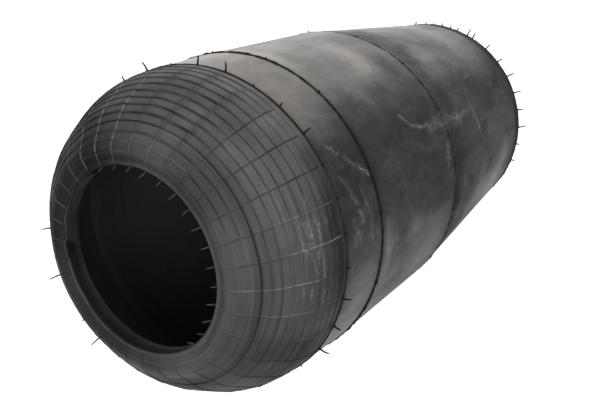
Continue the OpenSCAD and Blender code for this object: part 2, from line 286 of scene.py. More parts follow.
# Height, turn and length of each slow wave. The fourth draw of a row isn't used
SWELL = mould.uniform(-1, 1, (9, 4))[:, :3]
SEGMENT_STEPS = mould.uniform(-0.9, 0.9, RIBS)


def uneven(angle, s):
    """Slow unevenness of moulded rubber, up to about 0.3 mm: a sum of nine waves round and along the
    wall."""
    total = 0.0
    for k, (high, turn, long) in enumerate(SWELL):
        total = total + high * np.sin((1 + k % 5) * angle + 6 * turn + s / (38 + 22 * long)) / (2 + k * 0.4)
    return 0.11 * total


def segment_step(angle):
    """How far the rings of the mould's segment at an angle sit off, in mm: constant between ribs, with its
    change on the rib, and larger round the +X side."""
    place = (angle / (2 * math.pi) * RIBS) % RIBS
    knots = (np.arange(RIBS + 1)[:, None] + np.array((0.05, 0.95))).ravel()
    steps = np.repeat(np.r_[SEGMENT_STEPS, SEGMENT_STEPS[0]], 2)
    return np.interp(place, knots, steps) * (0.35 + 0.65 * stretch_of(azimuth_of(angle), 35, 150, 20.0))


def crest(x):
    """Height of a moulded ridge at a distance x from its middle, from 1 at the top to 0 at its feet."""
    return hump(x, RIDGE_HALF)


def hump(x, half):
    """1 at x = 0 and 0 from half outwards: one less the square of x over half."""
    return np.clip(1 - (x / half) ** 2, 0, 1)


def bell(x, half):
    """1 at x = 0 and fading on both sides: e to the power of less the square of x over half."""
    return np.exp(-((x / half) ** 2))


def azimuth_of(angle):
    """Degrees from the near side, -Y, towards +X, from -180 to 180."""
    return (np.degrees(angle) + 270) % 360 - 180


def turn_from(place, azimuth):
    """Degrees from the azimuth of a place on to another azimuth, from -180 to 180."""
    return (azimuth - place + 180) % 360 - 180


def ramp(v, low, high):
    """0 below low, 1 above high and smooth between them."""
    t = np.clip((v - low) / (high - low), 0, 1)
    return t * t * (3 - 2 * t)


def stretch_of(v, low, high, soft):
    """1 between low and high, and down to 0 over soft beyond them."""
    return ramp(v, low - soft, low) * (1 - ramp(v, high, high + soft))


# Ribs that carry chalk and a painted highlight: azimuth, distance down from the lip at which it starts and
# ends, and strength
RIBS_WITH_CHALK_AND_HIGHLIGHT = (
    (45, -2, 12, 0.7), (56.25, 0, 16, 0.5), (67.5, 0, 62, 0.9), (78.75, 0, 64, 0.9), (90, 0, 58, 0.9),
    (101.25, 0, 52, 0.8), (112.5, 0, 50, 0.7), (123.75, 0, 40, 0.7), (135, 0, 40, 0.6),
    (146.25, 0, 30, 0.4), (-11.25, 44, 96, 0.4), (-22.5, 48, 96, 0.9), (-33.75, 13, 62, 0.8),
    (-45, 36, 60, 0.45), (-56.25, 60, 90, 0.3), (-112.5, 20, 70, 0.6), (-135, 40, 90, 0.5),
    (-157.5, 5, 45, 0.7), (168.75, 30, 80, 0.5),
)
# Chalk and painted highlight on rings in the same way: distance from the lip, azimuths at its two ends, and
# strength
RINGS_WITH_CHALK_AND_HIGHLIGHT = (
    (5.6, 35, 66, 0.75), (12.4, 25, 62, 0.65), (5.6, 84, 104, 0.35), (12.4, 95, 116, 0.25),
    (46.4, -44, -16, 0.25), (53.2, -48, -20, 0.35), (60.0, -45, -14, 0.45), (66.8, -30, -16, 0.3),
    (53.2, 40, 52, 0.3), (66.8, 70, 84, 0.3), (32.8, -150, -120, 0.4), (46.4, 120, 150, 0.4),
    (60.0, -178, -150, 0.4), (73.6, 150, 178, 0.4),
)


def ring_marks(down, azimuth, angle, x):
    """Chalk and painted highlight, and painted shade, on the rings, by the distance x from the nearest ring.
    A ring is painted dark as shade where its far side turns away: crisp from the near side round the +X side,
    where it is heaviest, and soft and faint behind."""
    crisp = crispness(azimuth)
    waver = 0.8 + 0.2 * np.sin(7 * angle + down / 3) * np.sin(23 * angle - down / 7)
    painted_shade = waver * hump(x - 0.2, 0.65) * (0.2 + 0.6 * crisp)
    painted_shade = painted_shade + 0.24 * bell(x, 1.5) * (1 - crisp) * ramp(down, 20, 40)
    # Heaviest painted shade on the rings from the near side round +X
    heaviest_shade = stretch_of(azimuth, 36, 104, 18.0) * ramp(down, 16, 24)
    painted_shade = np.maximum(painted_shade, 0.95 * heaviest_shade * waver * hump(x - 0.25, 1.35))
    chalk_and_highlight = 0.0 * azimuth
    for place, low, high, strength in RINGS_WITH_CHALK_AND_HIGHLIGHT:
        near = np.abs(down - x - place) < 1
        chalk_and_highlight = np.maximum(chalk_and_highlight, near * strength * stretch_of(azimuth, low, high, 5.0))
    chalk_and_highlight = chalk_and_highlight * hump(x, 0.6)
    return chalk_and_highlight, painted_shade * (1 - chalk_and_highlight)


def rib_marks(down, azimuth, angle, x, show):
    """Chalk and painted highlight, and painted shade, on the ribs, by the distance x from the nearest rib, as
    far as show has ribs.
    """
    line = hump(x, 0.7 + 0.35 * stretch_of(azimuth, 62, 140, 8.0)) * show
    # A wide, soft painted shade beside the ribs from azimuth 32 to 62
    wide = hump(x, 2.2) * show * stretch_of(azimuth, 32, 62, 6.0)
    chalk_and_highlight = 0.0 * azimuth
    for place, low, high, strength in RIBS_WITH_CHALK_AND_HIGHLIGHT:
        near = np.abs(turn_from(place, azimuth)) < 5
        chalk_and_highlight = np.maximum(chalk_and_highlight, near * strength * stretch_of(down, low, high, 7.0))
    # Strength of the painted shade on the ribs, heaviest from the near side to azimuth 26
    dark = 0.26 + 0.4 * stretch_of(azimuth, -2, 26, 6.0) * ramp(down, 14, 70)
    dark = dark + 0.14 * np.sin(down / 4 + 5 * angle)
    return chalk_and_highlight * line, np.maximum(line * dark, 0.3 * wide) * (1 - np.minimum(1, 1.6 * chalk_and_highlight))


def line_marks(s, angle, ring_x, rib_x, show):
    """Chalk and painted highlight, and painted shade, on the moulded lines, and painted shade on the edge of
    the mouth's face.
    """
    down, azimuth = s - LIP_S, azimuth_of(angle)
    ring_chalk_and_highlight, ring_painted_shade = ring_marks(down, azimuth, angle, ring_x)
    rib_chalk_and_highlight, rib_painted_shade = rib_marks(down, azimuth, angle, rib_x, show)
    # Painted shade along the edge of the mouth's face, strongest from the near side round +X
    edge = 0.4 * stretch_of(down, 0.0, 2.6, 1.2) * (0.3 + 0.7 * stretch_of(azimuth, -70, 75, 20.0))
    return np.maximum(ring_chalk_and_highlight, rib_chalk_and_highlight), np.maximum(np.maximum(ring_painted_shade, rib_painted_shade), edge)


def crispness(azimuth):
    """How crisp the rings are: 1 from the near side round +X, less behind, and 0 from the near side round
    -X."""
    return ramp(azimuth, -25, 8) * (1 - 0.45 * ramp(azimuth, 100, 130))


def mouth_marks(s, angle):
    """A painted highlight on the lip's edge, and painted shade in the bore, which is painted pale as lit on
    its +X side."""
    down, azimuth = s[:, None] - LIP_S, azimuth_of(angle)
    # Where the lip's edge carries a painted highlight
    lip_lit = stretch_of(azimuth, 130, 180, 22.0) + stretch_of(azimuth, -180, -112, 16.0)
    lip_lit = lip_lit + 0.6 * stretch_of(azimuth, -62, -22, 8.0)
    chalk_and_highlight = 0.5 * hump(down + 3.7, 0.6) * lip_lit
    # The bore is painted dark as shade, except for a painted lit stretch on its +X side
    bore, wiped = 1 - ramp(down, -5.6, -4.6), stretch_of(azimuth + 0.5 * down, 90, 142, 2.5)
    wiped = wiped * ramp(down, -15, -13) * (1 - 0.45 * ramp(azimuth, 105, 140))
    bore_shade = bore * (1 - wiped) * (0.3 + 0.7 * ramp(down, -15, -8.5))
    return np.maximum(chalk_and_highlight, 0.45 * bore * wiped), 0.72 * bore_shade


def bloom_and_painted_light_on_mould(s, angle):
    """How pale the bead strip and the dome are, as bloom and painted light: 1 is pale and more is chalky. The
    near side is palest, the -X side darkens towards the parting line, and the far +X side is dark; these
    changes from side to side are painted light and shade."""
    azimuth, down = azimuth_of(angle), s[:, None] - LIP_S
    minus = 1.12 * (1 - 0.85 * ramp(down, 38, 96))
    minus = minus * (1 - 0.55 * stretch_of(azimuth, -80, -62, 10.0) * ramp(down, 24, 40))
    plus = 1.14 + 0.12 * np.sin(down / 9 + 2 * angle) - 0.3 * stretch_of(azimuth, 5, 24, 12.0)
    near = minus + (plus - minus) * ramp(azimuth, -24, 14)
    turn = 12 * ramp(down, 25, 45)
    reach = 1 - ramp(azimuth, 54 + turn, 90 + 0.5 * turn)
    near = near * reach * ramp(azimuth, -124 + 22 * ramp(down, 8, 24), -88 + 8 * ramp(down, 8, 24))
    # Painted shade towards the parting line on the near side
    near = near - 0.5 * ramp(down, 72, 90) * stretch_of(azimuth, -32, 4, 12.0)
    lip = 0.45 * stretch_of(azimuth, -75, 36, 25.0) + 0.5 * stretch_of(azimuth, -124, -92, 14.0)
    lip = (1 - ramp(down, 4, 14)) * lip
    lip = lip - 0.3 * stretch_of(azimuth, 60, 88, 10.0) * (1 - ramp(down, 12, 30))
    toe = 0.15 * (1 - ramp(down, -16, -9)) * (1 - stretch_of(azimuth, -100, 96, 12.0))
    return near + lip + toe + 0.34 * (1 - stretch_of(azimuth, -92, 148, 22.0))


# Drifts of bloom and painted light, or of soot and painted shade where they are negative, such as the band
# under the lower seam: azimuth and mm down from the lip, halves of both sizes, and strength
DRIFTS = (
    (22, 117, 10, 16, 0.5), (18, 224, 8, 26, -0.35), (18, 376, 8, 30, 0.4), (-30, 222, 7, 30, -0.3),
    (-29, 380, 6, 30, -0.45), (-44, 118, 8, 16, 0.35), (-52, 125, 15, 40, 0.45), (-38, 152, 9, 8, 0.9),
    (-36, 200, 5, 17, 0.6), (-50, 235, 11, 34, 0.7), (34, 225, 13, 13, 0.9), (24, 212, 5, 14, 0.6),
    (49, 149, 14, 8, 1.3), (27, 252, 6, 11, -0.5), (-52, 303, 15, 20, -1.0), (0, 299, 60, 9, -0.55),
    (42, 306, 15, 17, -1.2), (-26, 322, 10, 28, -0.3), (-49, 376, 9, 34, 1.5), (-52, 424, 10, 27, 2.2),
    (-38, 441, 6, 22, 1.4), (-36, 386, 4, 13, -0.5), (25, 330, 5, 26, 0.55), (36, 338, 6, 16, -0.3),
    (45, 424, 13, 22, 0.9), (56, 388, 8, 46, 1.0), (20, 440, 12, 30, 0.4), (104, 300, 24, 60, -0.8),
    (150, 180, 20, 50, 0.7), (-140, 260, 26, 40, 0.6), (-110, 400, 18, 50, 0.8), (172, 380, 22, 40, 0.5),
    (124, 420, 16, 30, 0.7), (-160, 130, 30, 18, 0.6),
)


def bloom_and_painted_light_on_wall(s, angle):
    """How pale the straight wall is, as for the mould: bloom with painted light on its +X flank, which is
    thinner under the lower seam as painted shade, and drifts over all of it, each a bell in azimuth and
    height."""
    azimuth, down = azimuth_of(angle), s[:, None] - LIP_S
    sway = 3 * np.sin(down / 19 + 2 * angle) + 2 * np.sin(down / 7)
    # The +X flank is painted pale, as lit, along with its bloom
    flank = 1.1 * ramp(azimuth + sway, 8, 34) + 1.2 * ramp(azimuth + sway, 38, 64)
    flank = flank * (1 - 0.5 * ramp(azimuth, 66, 88)) * (1 - ramp(azimuth, 112, 165))
    flank = flank * (1.12 - 0.3 * ramp(down, 134, 152))
    # Painted shade under the lower seam
    thin = 1 - 0.66 * ramp(down, 276, 282) + 0.2 * ramp(down, 400, 430)
    total = flank * thin + 0.06
    for place, middle, half, tall, strength in DRIFTS:
        across = turn_from(place, azimuth) / half
        total = total + strength * np.exp(-(across**2) - ((down - middle) / tall) ** 2)
    return total


# Seams: distance along the wall, half width and strength of the painted dark line, and the same of the
# painted shade below it
SEAMS = (
    (PARTING_S, 1.3, 0.9, 2.6, 0.3), (UPPER_SEAM_S, 2.1, 0.95, 4.0, 0.4), (LOWER_SEAM_S, 1.7, 0.95, 9.0, 0.6),
    (RIM_S, 2.2, 0.95, 3.0, 0.5),
)


def seam_painted_shade(s, angle):
    """Painted shade beside the mould's seams: a thin, unevenly torn dark line on each and a soft shade on its
    foot side. The lower seam's line is broken into dashes. The wall above the rim is painted dark as well."""
    s = s[:, None]
    azimuth = azimuth_of(angle)
    total = 0.35 * stretch_of(s, RIM_S - 13, RIM_S, 3.0) + 0.0 * angle
    for k, (seam, width, line, reach, shade) in enumerate(SEAMS):
        torn = 1 + 0.3 * np.sin(17 * angle + k) * np.sin(41 * angle + 2 * k)
        torn = torn + 0.25 * np.sin(5 * angle + 3 * k)
        if seam == LOWER_SEAM_S:
            dashes = np.sin(68 * angle) + 0.7 * np.sin(31 * angle + 1) + 0.4 * np.sin(9 * angle)
            torn = torn * (0.25 + 0.75 * ramp(dashes, -0.5, 0.1))
            torn = torn * (1 - 0.5 * stretch_of(azimuth, -14, 12, 8.0))
        thin = line * np.clip(torn, 0.1, 1.05) * bell(s - seam, width)
        below = shade * bell(s - seam - 0.7 * reach, reach) * (0.7 + 0.3 * np.sin(3 * angle + k))
        total = np.maximum(total, np.maximum(thin, below))
    gap = stretch_of(azimuth, -17, 2, 5.0) * stretch_of(s, PARTING_S - 8, PARTING_S + 8, 2.0)
    return np.clip(total * (1 - 0.7 * gap), 0, 1)


def ridge_rows(start, end, middles, gap):
    """Distances for the rows of a mesh from start to end: seven across each ridge, and about gap apart
    between."""
    rows = [start]
    for middle in [m for m in middles if start + RIDGE_ROOM < m < end - RIDGE_ROOM]:
        low = middle + RIDGE_ROWS[0]
        steps = max(1, int(round((low - rows[-1]) / gap)))
        rows.extend(np.linspace(rows[-1], low, steps + 1)[1:])
        rows.extend(middle + RIDGE_ROWS[1:])
    steps = max(1, int(round((end - rows[-1]) / gap)))
    rows.extend(np.linspace(rows[-1], end, steps + 1)[1:])
    return np.array(rows)


def rib_columns(radius, ribs=RIBS):
    """Angles for the columns of a mesh at each row's radius, seven across each rib, and the columns'
    distance from the nearest rib's middle in mm."""
    share = np.arange(1, BETWEEN_RIBS + 1) / (BETWEEN_RIBS + 1)
    pitch = 2 * math.pi / RIBS
    reach = RIDGE_ROWS[-1] / radius[:, None]
    near = RIDGE_ROWS[None, :] / radius[:, None]
    far = reach + share[None, :] * (pitch - 2 * reach)
    one = np.concatenate([near, far], 1)
    angle = (np.arange(ribs)[None, :, None] * pitch + one[:, None, :]).reshape(len(radius), -1)
    x = np.tile(np.concatenate([RIDGE_ROWS, np.full(BETWEEN_RIBS, FAR_OFF)]), ribs)
    return angle, np.broadcast_to(x, angle.shape)


# Meshes

def grid_faces(rows, cols, wrap_rows, wrap_cols, first=0):
    """The quads between neighbouring points of a grid that is numbered row by row from first."""
    i = np.arange(rows if wrap_rows else rows - 1)[:, None]
    j = np.arange(cols if wrap_cols else cols - 1)[None, :]
    below, right = (i + 1) % rows, (j + 1) % cols
    quad = np.broadcast_arrays(i * cols + j, i * cols + right, below * cols + right, below * cols + j)
    return first + np.stack(quad, -1).reshape(-1, 4)


def make_piece(name, points, faces, materials, marks=None, material_index=None, smooth=None):
    """A smooth mesh of points in mm and quads, turned the right way out by its volume, with marks on its
    points. smooth tells which faces are smooth where not all are."""
    points = np.asarray(points, float).reshape(-1, 3)
    corner = [points[faces[:, k]] for k in range(4)]
    volume = np.einsum("ij,ij->", corner[0], np.cross(corner[1], corner[2]) + np.cross(corner[2], corner[3]))
    if volume < 0:
        faces = faces[:, ::-1]
    data = bpy.data.meshes.new(name)
    data.from_pydata((points * MM).tolist(), [], faces.tolist())
    data.polygons.foreach_set("use_smooth", np.ones(len(faces), bool) if smooth is None else smooth)
    for key, value in (marks or {}).items():
        value = np.asarray(value, np.float32)
        kind = "FLOAT_VECTOR" if value.ndim == 2 else "FLOAT"
        field = "vector" if value.ndim == 2 else "value"
        data.attributes.new(key, kind, "POINT").data.foreach_set(field, value.ravel())
    for material in materials:
        data.materials.append(material)
    if material_index is not None:
        data.polygons.foreach_set("material_index", material_index.astype(np.int32))
    data.update()
    return added(name, data)


def turned(points, angle):
    """Points (radius, height) turned about the axis: rows by columns by 3."""
    radius, height = points[..., 0], points[..., 1]
    if points.ndim == 2:
        radius, height = radius[:, None], height[:, None]
    return np.stack(np.broadcast_arrays(radius * np.cos(angle), radius * np.sin(angle), height), -1)


def rest_marks(radius, angle, s):
    """The unrolled place of each point, in metres, for patterns that follow the wall: x, y and the way
    down."""
    x, y, s = np.broadcast_arrays(radius * np.cos(angle), radius * np.sin(angle), s)
    return np.stack([x, y, s], -1).reshape(-1, 3) * MM


def raised_by(s, height):
    """Points (radius, height) of the outside at distances s, with a height in mm over it for each
    column."""
    base, out = place_on(OUTSIDE, s), place_on(OUTSIDE, s, -1.0)
    return base[:, None, :] + (out - base)[:, None, :] * height[..., None]


def relief_surface(s, angle, x, middles, ridge, step, fade, dip=None):
    """Points of the outside at distances s and angles, raised by rings at middles, ribs at x = 0 and
    unevenness. The step is a saw-tooth between rings, as a turned mould leaves it. The lines waver along the
    wall by up to 0.25 mm, and the surface dips to a shallow groove at the distance dip. Also gives marks of
    chalk and painted highlight, and of painted shade."""
    s, show = s[:, None], fade[:, None]
    off = s - np.array(middles)[None, :]
    ring_x = np.take_along_axis(off, np.argmin(np.abs(off), axis=1)[:, None], 1)
    azimuth = azimuth_of(angle)
    top = np.maximum(crest(ring_x) * (0.4 + 0.6 * crispness(azimuth)), crest(x) * show)
    share = ((s - middles[0]) / RING_PITCH) % 1.0
    groove = 0.0 if dip is None else hump(s - dip, GROOVE_HALF)
    height = ridge * top + step * (share - 0.5) + uneven(angle, s) - GROOVE_DEPTH * groove
    base, out = place_on(OUTSIDE, s[:, 0]), place_on(OUTSIDE, s[:, 0], -1.0)
    normal = (out - base)[:, None, :]
    tangent = np.stack([normal[..., 1], -normal[..., 0]], -1)
    ends = np.clip(np.minimum(s - s[0], s[-1] - s) / 4, 0, 1)
    sway = 0.13 * np.sin(3 * angle + s / 9) + 0.13 * np.sin(11 * angle + 1.7 + s / 5) + segment_step(angle)
    points = base[:, None, :] + normal * height[..., None] + tangent * (ends * sway)[..., None]
    chalk_and_highlight, painted_shade = line_marks(s, angle, ring_x, x, show)
    # Painted shade in the groove between the bead strip and the cover, and soft beside it
    if dip is not None:
        crisp = 0.6 * stretch_of(azimuth, 52, 110, 14.0) + 0.4 * stretch_of(azimuth, -46, -10, 9.0)
        soft = 0.33 * bell(s - dip + 0.5, 2.4) * stretch_of(azimuth, -150, 20, 15.0)
        painted_shade = np.maximum(painted_shade, np.maximum(groove * (0.06 + crisp), soft))
    return turned(points, angle), chalk_and_highlight, painted_shade


def shell(name, outside, inside, angle, s_rows, material, top=0.0, low=0.0, scuff=0.0, bloom_and_painted_light=0.0):
    """A closed ring of rubber: a grid of outside points, and inside points (radius, height) taken back up.
    The marks are for the outside. Inside there is only mould powder, away from both beads."""
    back = turned(inside[::-1], np.broadcast_to(angle[:1], (len(inside), angle.shape[1])))
    points = np.concatenate([outside, back])
    rows, cols = points.shape[:2]
    radius = np.hypot(points[..., 0], points[..., 1])
    blank = np.zeros((len(inside), cols))
    depth = HEIGHT - inside[::-1, 1][:, None]
    powder = ramp(depth, 62, 240) * (1 - ramp(depth, 300, 440)) + blank
    join = lambda front, back: np.concatenate([np.broadcast_to(front, outside.shape[:2]), back]).ravel()
    s_all = np.concatenate([s_rows, np.linspace(s_rows[-1], s_rows[0], len(inside))])[:, None]
    around = np.arctan2(points[..., 1], points[..., 0])
    # The crest mark carries chalk and painted highlight, the foot mark painted shade, and the bloom mark
    # bloom and painted light
    marks = {
        "rest": rest_marks(radius, around, s_all), "crest": join(top, blank), "foot": join(low, blank),
        "scuff": join(scuff, blank), "bloom_and_painted_light": join(bloom_and_painted_light, powder),
    }
    smooth = np.ones((rows, cols), bool)
    smooth[[len(outside) - 1, rows - 1]] = False
    faces = grid_faces(rows, cols, True, True)
    return make_piece(name, points, faces, [material], marks, None, smooth.ravel())


# Materials

def fill(tree, made, inputs):
    """A node with its sockets given either constants or other nodes' sockets."""
    for key, value in inputs.items():
        if isinstance(value, bpy.types.NodeSocket):
            tree.links.new(value, made.inputs[key])
        else:
            made.inputs[key].default_value = value
    return made


def node(tree, kind, inputs=None, **settings):
    """A new shader node with its settings and inputs."""
    made = tree.nodes.new(kind)
    for key, value in settings.items():
        setattr(made, key, value)
    return fill(tree, made, inputs or {})


def noise(tree, place, scale, detail, rough=0.6, stretch=(1, 1, 1)):
    """Noise on a place in metres, with stretch as the scale of each axis."""
    if stretch != (1, 1, 1):
        place = node(tree, "ShaderNodeMapping", {"Vector": place, "Scale": stretch}).outputs[0]
    inputs = {"Vector": place, "Scale": scale, "Detail": detail, "Roughness": rough}
    return node(tree, "ShaderNodeTexNoise", inputs).outputs["Fac"]


def span(tree, value, low, high, to_low=0.0, to_high=1.0):
    """value taken smoothly from low..high to to_low..to_high, and no further."""
    inputs = {"Value": value, "From Min": low, "From Max": high, "To Min": to_low, "To Max": to_high}
    return node(tree, "ShaderNodeMapRange", inputs, interpolation_type="SMOOTHSTEP").outputs[0]


def sums(tree, operation, *values, clamp=True):
    """Values put together by a Math node, and kept within 0 to 1 where clamp is on."""
    settings = {"operation": operation, "use_clamp": clamp}
    return node(tree, "ShaderNodeMath", dict(enumerate(values)), **settings).outputs[0]


def mix(tree, share, a, b):
    """Colour a turned into colour b by a share."""
    return node(tree, "ShaderNodeMix", {0: share, 6: a, 7: b}, data_type="RGBA").outputs[2]


def grey(level, warm=0.0):
    """A grey by its linear level, warmed or cooled a little."""
    return (level * (1 + warm), level, level * (1 - warm), 1)


def tint(level, red=1.0, blue=1.0):
    """A grey by its linear level, with its red and blue turned up or down."""
    return (level * red, level, level * blue, 1)


def new_material(name):
    """An empty material, its tree and its Principled shader."""
    material = bpy.data.materials.new(name)
    material.use_nodes = True
    tree = material.node_tree
    return material, tree, tree.nodes["Principled BSDF"]


def read(tree, mark, output="Fac"):
    """A mark of the mesh's points."""
    return node(tree, "ShaderNodeAttribute", attribute_name=mark).outputs[output]


def bent_normal(tree, height, strength, distance, **under):
    """A normal bent by a pattern as a height, distance in metres. under may give the Normal that it
    bends."""
    inputs = {"Height": height, "Strength": strength, "Distance": distance, **under}
    return node(tree, "ShaderNodeBump", inputs).outputs[0]


def turn_about(tree, place):
    """The angle of a place about the axis, from -pi to pi, and its height."""
    parts = node(tree, "ShaderNodeSeparateXYZ", {0: place}).outputs
    return sums(tree, "ARCTAN2", parts[1], parts[0], clamp=False), parts[2]


def moulded_rubber(
    name, dark, pale, rough, gloss, dust, turned_marks=1.0, chalk_and_highlight=0.15, seed=0.0, wipe=(42, 42, 150),
    along=1.0, broken=(1.3, 0.9, 0.7)
):
    """Black rubber from the mould: dark and dull, with a pale bloom, which carries painted light too and
    shines more where it is marked and in clouds. Over that come turning marks round the wall, wiped streaks,
    scratches, chalk on scuffs, chalk and painted highlight on the crests of the moulded lines, and painted
    shade in their feet. dark and pale are a linear level, its red and its blue. broken says how much clouds,
    mottling and wiping break up the bloom."""
    material, tree, shader = new_material(name)
    # Marks read here: chalk and painted highlight on crests, painted shade in feet, scuffs, and bloom with
    # painted light
    crest_chalk_and_highlight, painted_shade_in_feet, scuff, share = (read(tree, mark) for mark in ("crest", "foot", "scuff", "bloom_and_painted_light"))
    rest = read(tree, "rest", "Vector")
    side = node(tree, "ShaderNodeSeparateXYZ", {0: rest}).outputs[0]
    rest = node(tree, "ShaderNodeMapping", {"Vector": rest, "Location": (seed, seed, seed)}).outputs[0]
    cloud = noise(tree, rest, 24, 6, 0.68, (1, 1, along))
    mottle = noise(tree, rest, 1, 5, 0.7, (75, 75, 120 * along))
    fine = noise(tree, rest, 420, 5, 0.75)
    dots = noise(tree, rest, 620, 2, 0.5)
    turning = noise(tree, rest, 1, 4, 0.8, (11, 11, 760))
    wiped = noise(tree, rest, 1, 6, 0.75, wipe)
    drawn = noise(tree, rest, 1, 4, 0.7, (260, 260, 24))
    for pattern, much in zip((cloud, mottle, wiped), broken):
        part = sums(tree, "MULTIPLY_ADD", pattern, much * dust, -0.5 * much * dust, clamp=False)
        share = sums(tree, "ADD", share, part, clamp=False)
    chalky = sums(tree, "MULTIPLY_ADD", share, 0.45, -0.45)
    shine = span(tree, share, -0.6, 1.0, 0.25 * gloss, gloss)
    share = span(tree, share, -0.12, 1.12)
    streaks = sums(tree, "MULTIPLY", span(tree, turning, 0.5, 0.78), 0.45 * turned_marks)
    scratches = sums(tree, "MULTIPLY", span(tree, drawn, 0.6, 0.82), 0.4 * dust)
    haze = sums(tree, "MULTIPLY", span(tree, wiped, 0.56, 0.86), 0.4 * dust)
    powder = sums(tree, "MULTIPLY", scuff, span(tree, fine, 0.4, 0.62, 0.05, 1.0))
    powder = sums(tree, "MULTIPLY", powder, span(tree, wiped, 0.34, 0.62, 0.3, 1.0))
    specks = sums(tree, "MULTIPLY", span(tree, dots, 0.66, 0.74), span(tree, cloud, 0.42, 0.6, 0.0, 0.6))
    lines = sums(tree, "MULTIPLY", crest_chalk_and_highlight, span(tree, fine, 0.3, 0.6, 0.6, 1.0))
    lines = sums(tree, "MULTIPLY", lines, span(tree, mottle, 0.38, 0.58, 0.45, 1.0))
    dusty = lambda level: tint(level, *pale[1:])
    colour = mix(tree, share, tint(*dark), tint(*pale))
    # The last two layers are the crests' chalk and painted highlight, and the painted shade in the feet
    for layer, paint in (
        (chalky, dusty(0.22)), (streaks, dusty(pale[0] * 1.9)), (scratches, grey(pale[0] * 2.2)),
        (haze, dusty(0.03 + pale[0])), (powder, tint(0.25, 0.97, 1.01)), (specks, dusty(0.09)),
        (lines, grey(chalk_and_highlight, 0.01)), (painted_shade_in_feet, grey(0.003)),
    ):
        colour = mix(tree, layer, colour, paint)
    # Turning marks darken and brighten colour and shine, most on the -X side
    drag = sums(tree, "MULTIPLY_ADD", turning, 2.0, -1.0, clamp=False)
    much = span(tree, side, -0.02, 0.012, 1.1 * turned_marks, 0.3 * turned_marks)
    drag = sums(tree, "ADD", sums(tree, "MULTIPLY", drag, much, clamp=False), 1.0, clamp=False)
    colour = node(tree, "ShaderNodeVectorMath", {0: colour, 3: drag}, operation="SCALE").outputs[0]
    dull = span(tree, cloud, 0.3, 0.7, rough + 0.08, rough - 0.08)
    dull = sums(tree, "ADD", dull, sums(tree, "MULTIPLY", powder, 0.35))
    dull = sums(tree, "ADD", dull, sums(tree, "MULTIPLY", painted_shade_in_feet, 0.25))
    shine = sums(tree, "MULTIPLY", shine, span(tree, painted_shade_in_feet, 0, 1, 1.0, 0.3))
    grain = bent_normal(tree, fine, 0.3, 0.00015)
    fill(tree, shader, {
        "Base Color": colour, "Roughness": dull, "Specular IOR Level": sums(tree, "MULTIPLY", shine, drag),
        "Specular Tint": mix(tree, share, tint(1.0, *dark[1:]), tint(1.0, *pale[1:])),
        "Normal": bent_normal(tree, turning, 0.35 * turned_marks, 0.0003, Normal=grain),
    })
    return material


def plain_rubber(name, level, rough, scale=300, gloss=0.5):
    """Dark rubber of small pieces and hidden layers: mottled, finely grained, on Object coordinates."""
    material, tree, shader = new_material(name)
    place = node(tree, "ShaderNodeTexCoord").outputs["Object"]
    cloud = noise(tree, place, 40, 4)
    fine = noise(tree, place, scale, 3)
    fill(tree, shader, {
        "Base Color": mix(tree, span(tree, cloud, 0.3, 0.7), grey(level * 0.7), grey(level * 1.35)),
        "Roughness": span(tree, fine, 0.3, 0.7, rough - 0.05, rough + 0.08),
        "Normal": bent_normal(tree, fine, 0.3, 0.0002), "Specular IOR Level": gloss,
    })
    return material


def cord_fabric(name, lean):
    """Rubberised cord: parallel cords at an angle to the axis that is their lean, in dark dip."""
    material, tree, shader = new_material(name)
    around, height = turn_about(tree, read(tree, "rest", "Vector"))
    run = sums(tree, "MULTIPLY", around, 96.0 * lean, clamp=False)
    wave = sums(tree, "SINE", sums(tree, "MULTIPLY_ADD", height, 1500.0, run, clamp=False), clamp=False)
    fill(tree, shader, {
        "Base Color": mix(tree, span(tree, wave, -0.8, 0.8), grey(0.02), grey(0.075, 0.08)),
        "Roughness": span(tree, wave, -1, 1, 0.75, 0.6), "Normal": bent_normal(tree, wave, 0.6, 0.0003),
    })
    return material


def bead_wire(name):
    """Brass-coated steel wire, brushed along its turns."""
    material, tree, shader = new_material(name)
    place = node(tree, "ShaderNodeTexCoord").outputs["Object"]
    brushed = noise(tree, place, 1, 3, 0.6, (60, 60, 2500))
    fill(tree, shader, {
        "Base Color": mix(tree, span(tree, brushed, 0.3, 0.7), (0.36, 0.27, 0.15, 1), (0.55, 0.43, 0.25, 1)),
        "Metallic": 1.0, "Roughness": span(tree, brushed, 0.3, 0.7, 0.28, 0.42),
    })
    return material


def wrap_tape(name):
    """Rubberised cotton tape wound round the wires: slanting turns with a plain weave."""
    material, tree, shader = new_material(name)
    place = node(tree, "ShaderNodeTexCoord").outputs["Object"]
    weave = node(tree, "ShaderNodeTexChecker", {"Vector": place, "Scale": 1400}).outputs["Fac"]
    turns = sums(tree, "MULTIPLY", turn_about(tree, place)[0], 60.0, clamp=False)
    lap = sums(tree, "SINE", turns, clamp=False)
    colour = mix(tree, sums(tree, "MULTIPLY", weave, 0.5), grey(0.09, 0.08), grey(0.2, 0.1))
    colour = mix(tree, span(tree, lap, 0.8, 1.0, 0, 0.7), colour, grey(0.03))
    grain = bent_normal(tree, weave, 0.4, 0.0002)
    fill(tree, shader, {"Base Color": colour, "Roughness": 0.85, "Normal": grain})
    return material


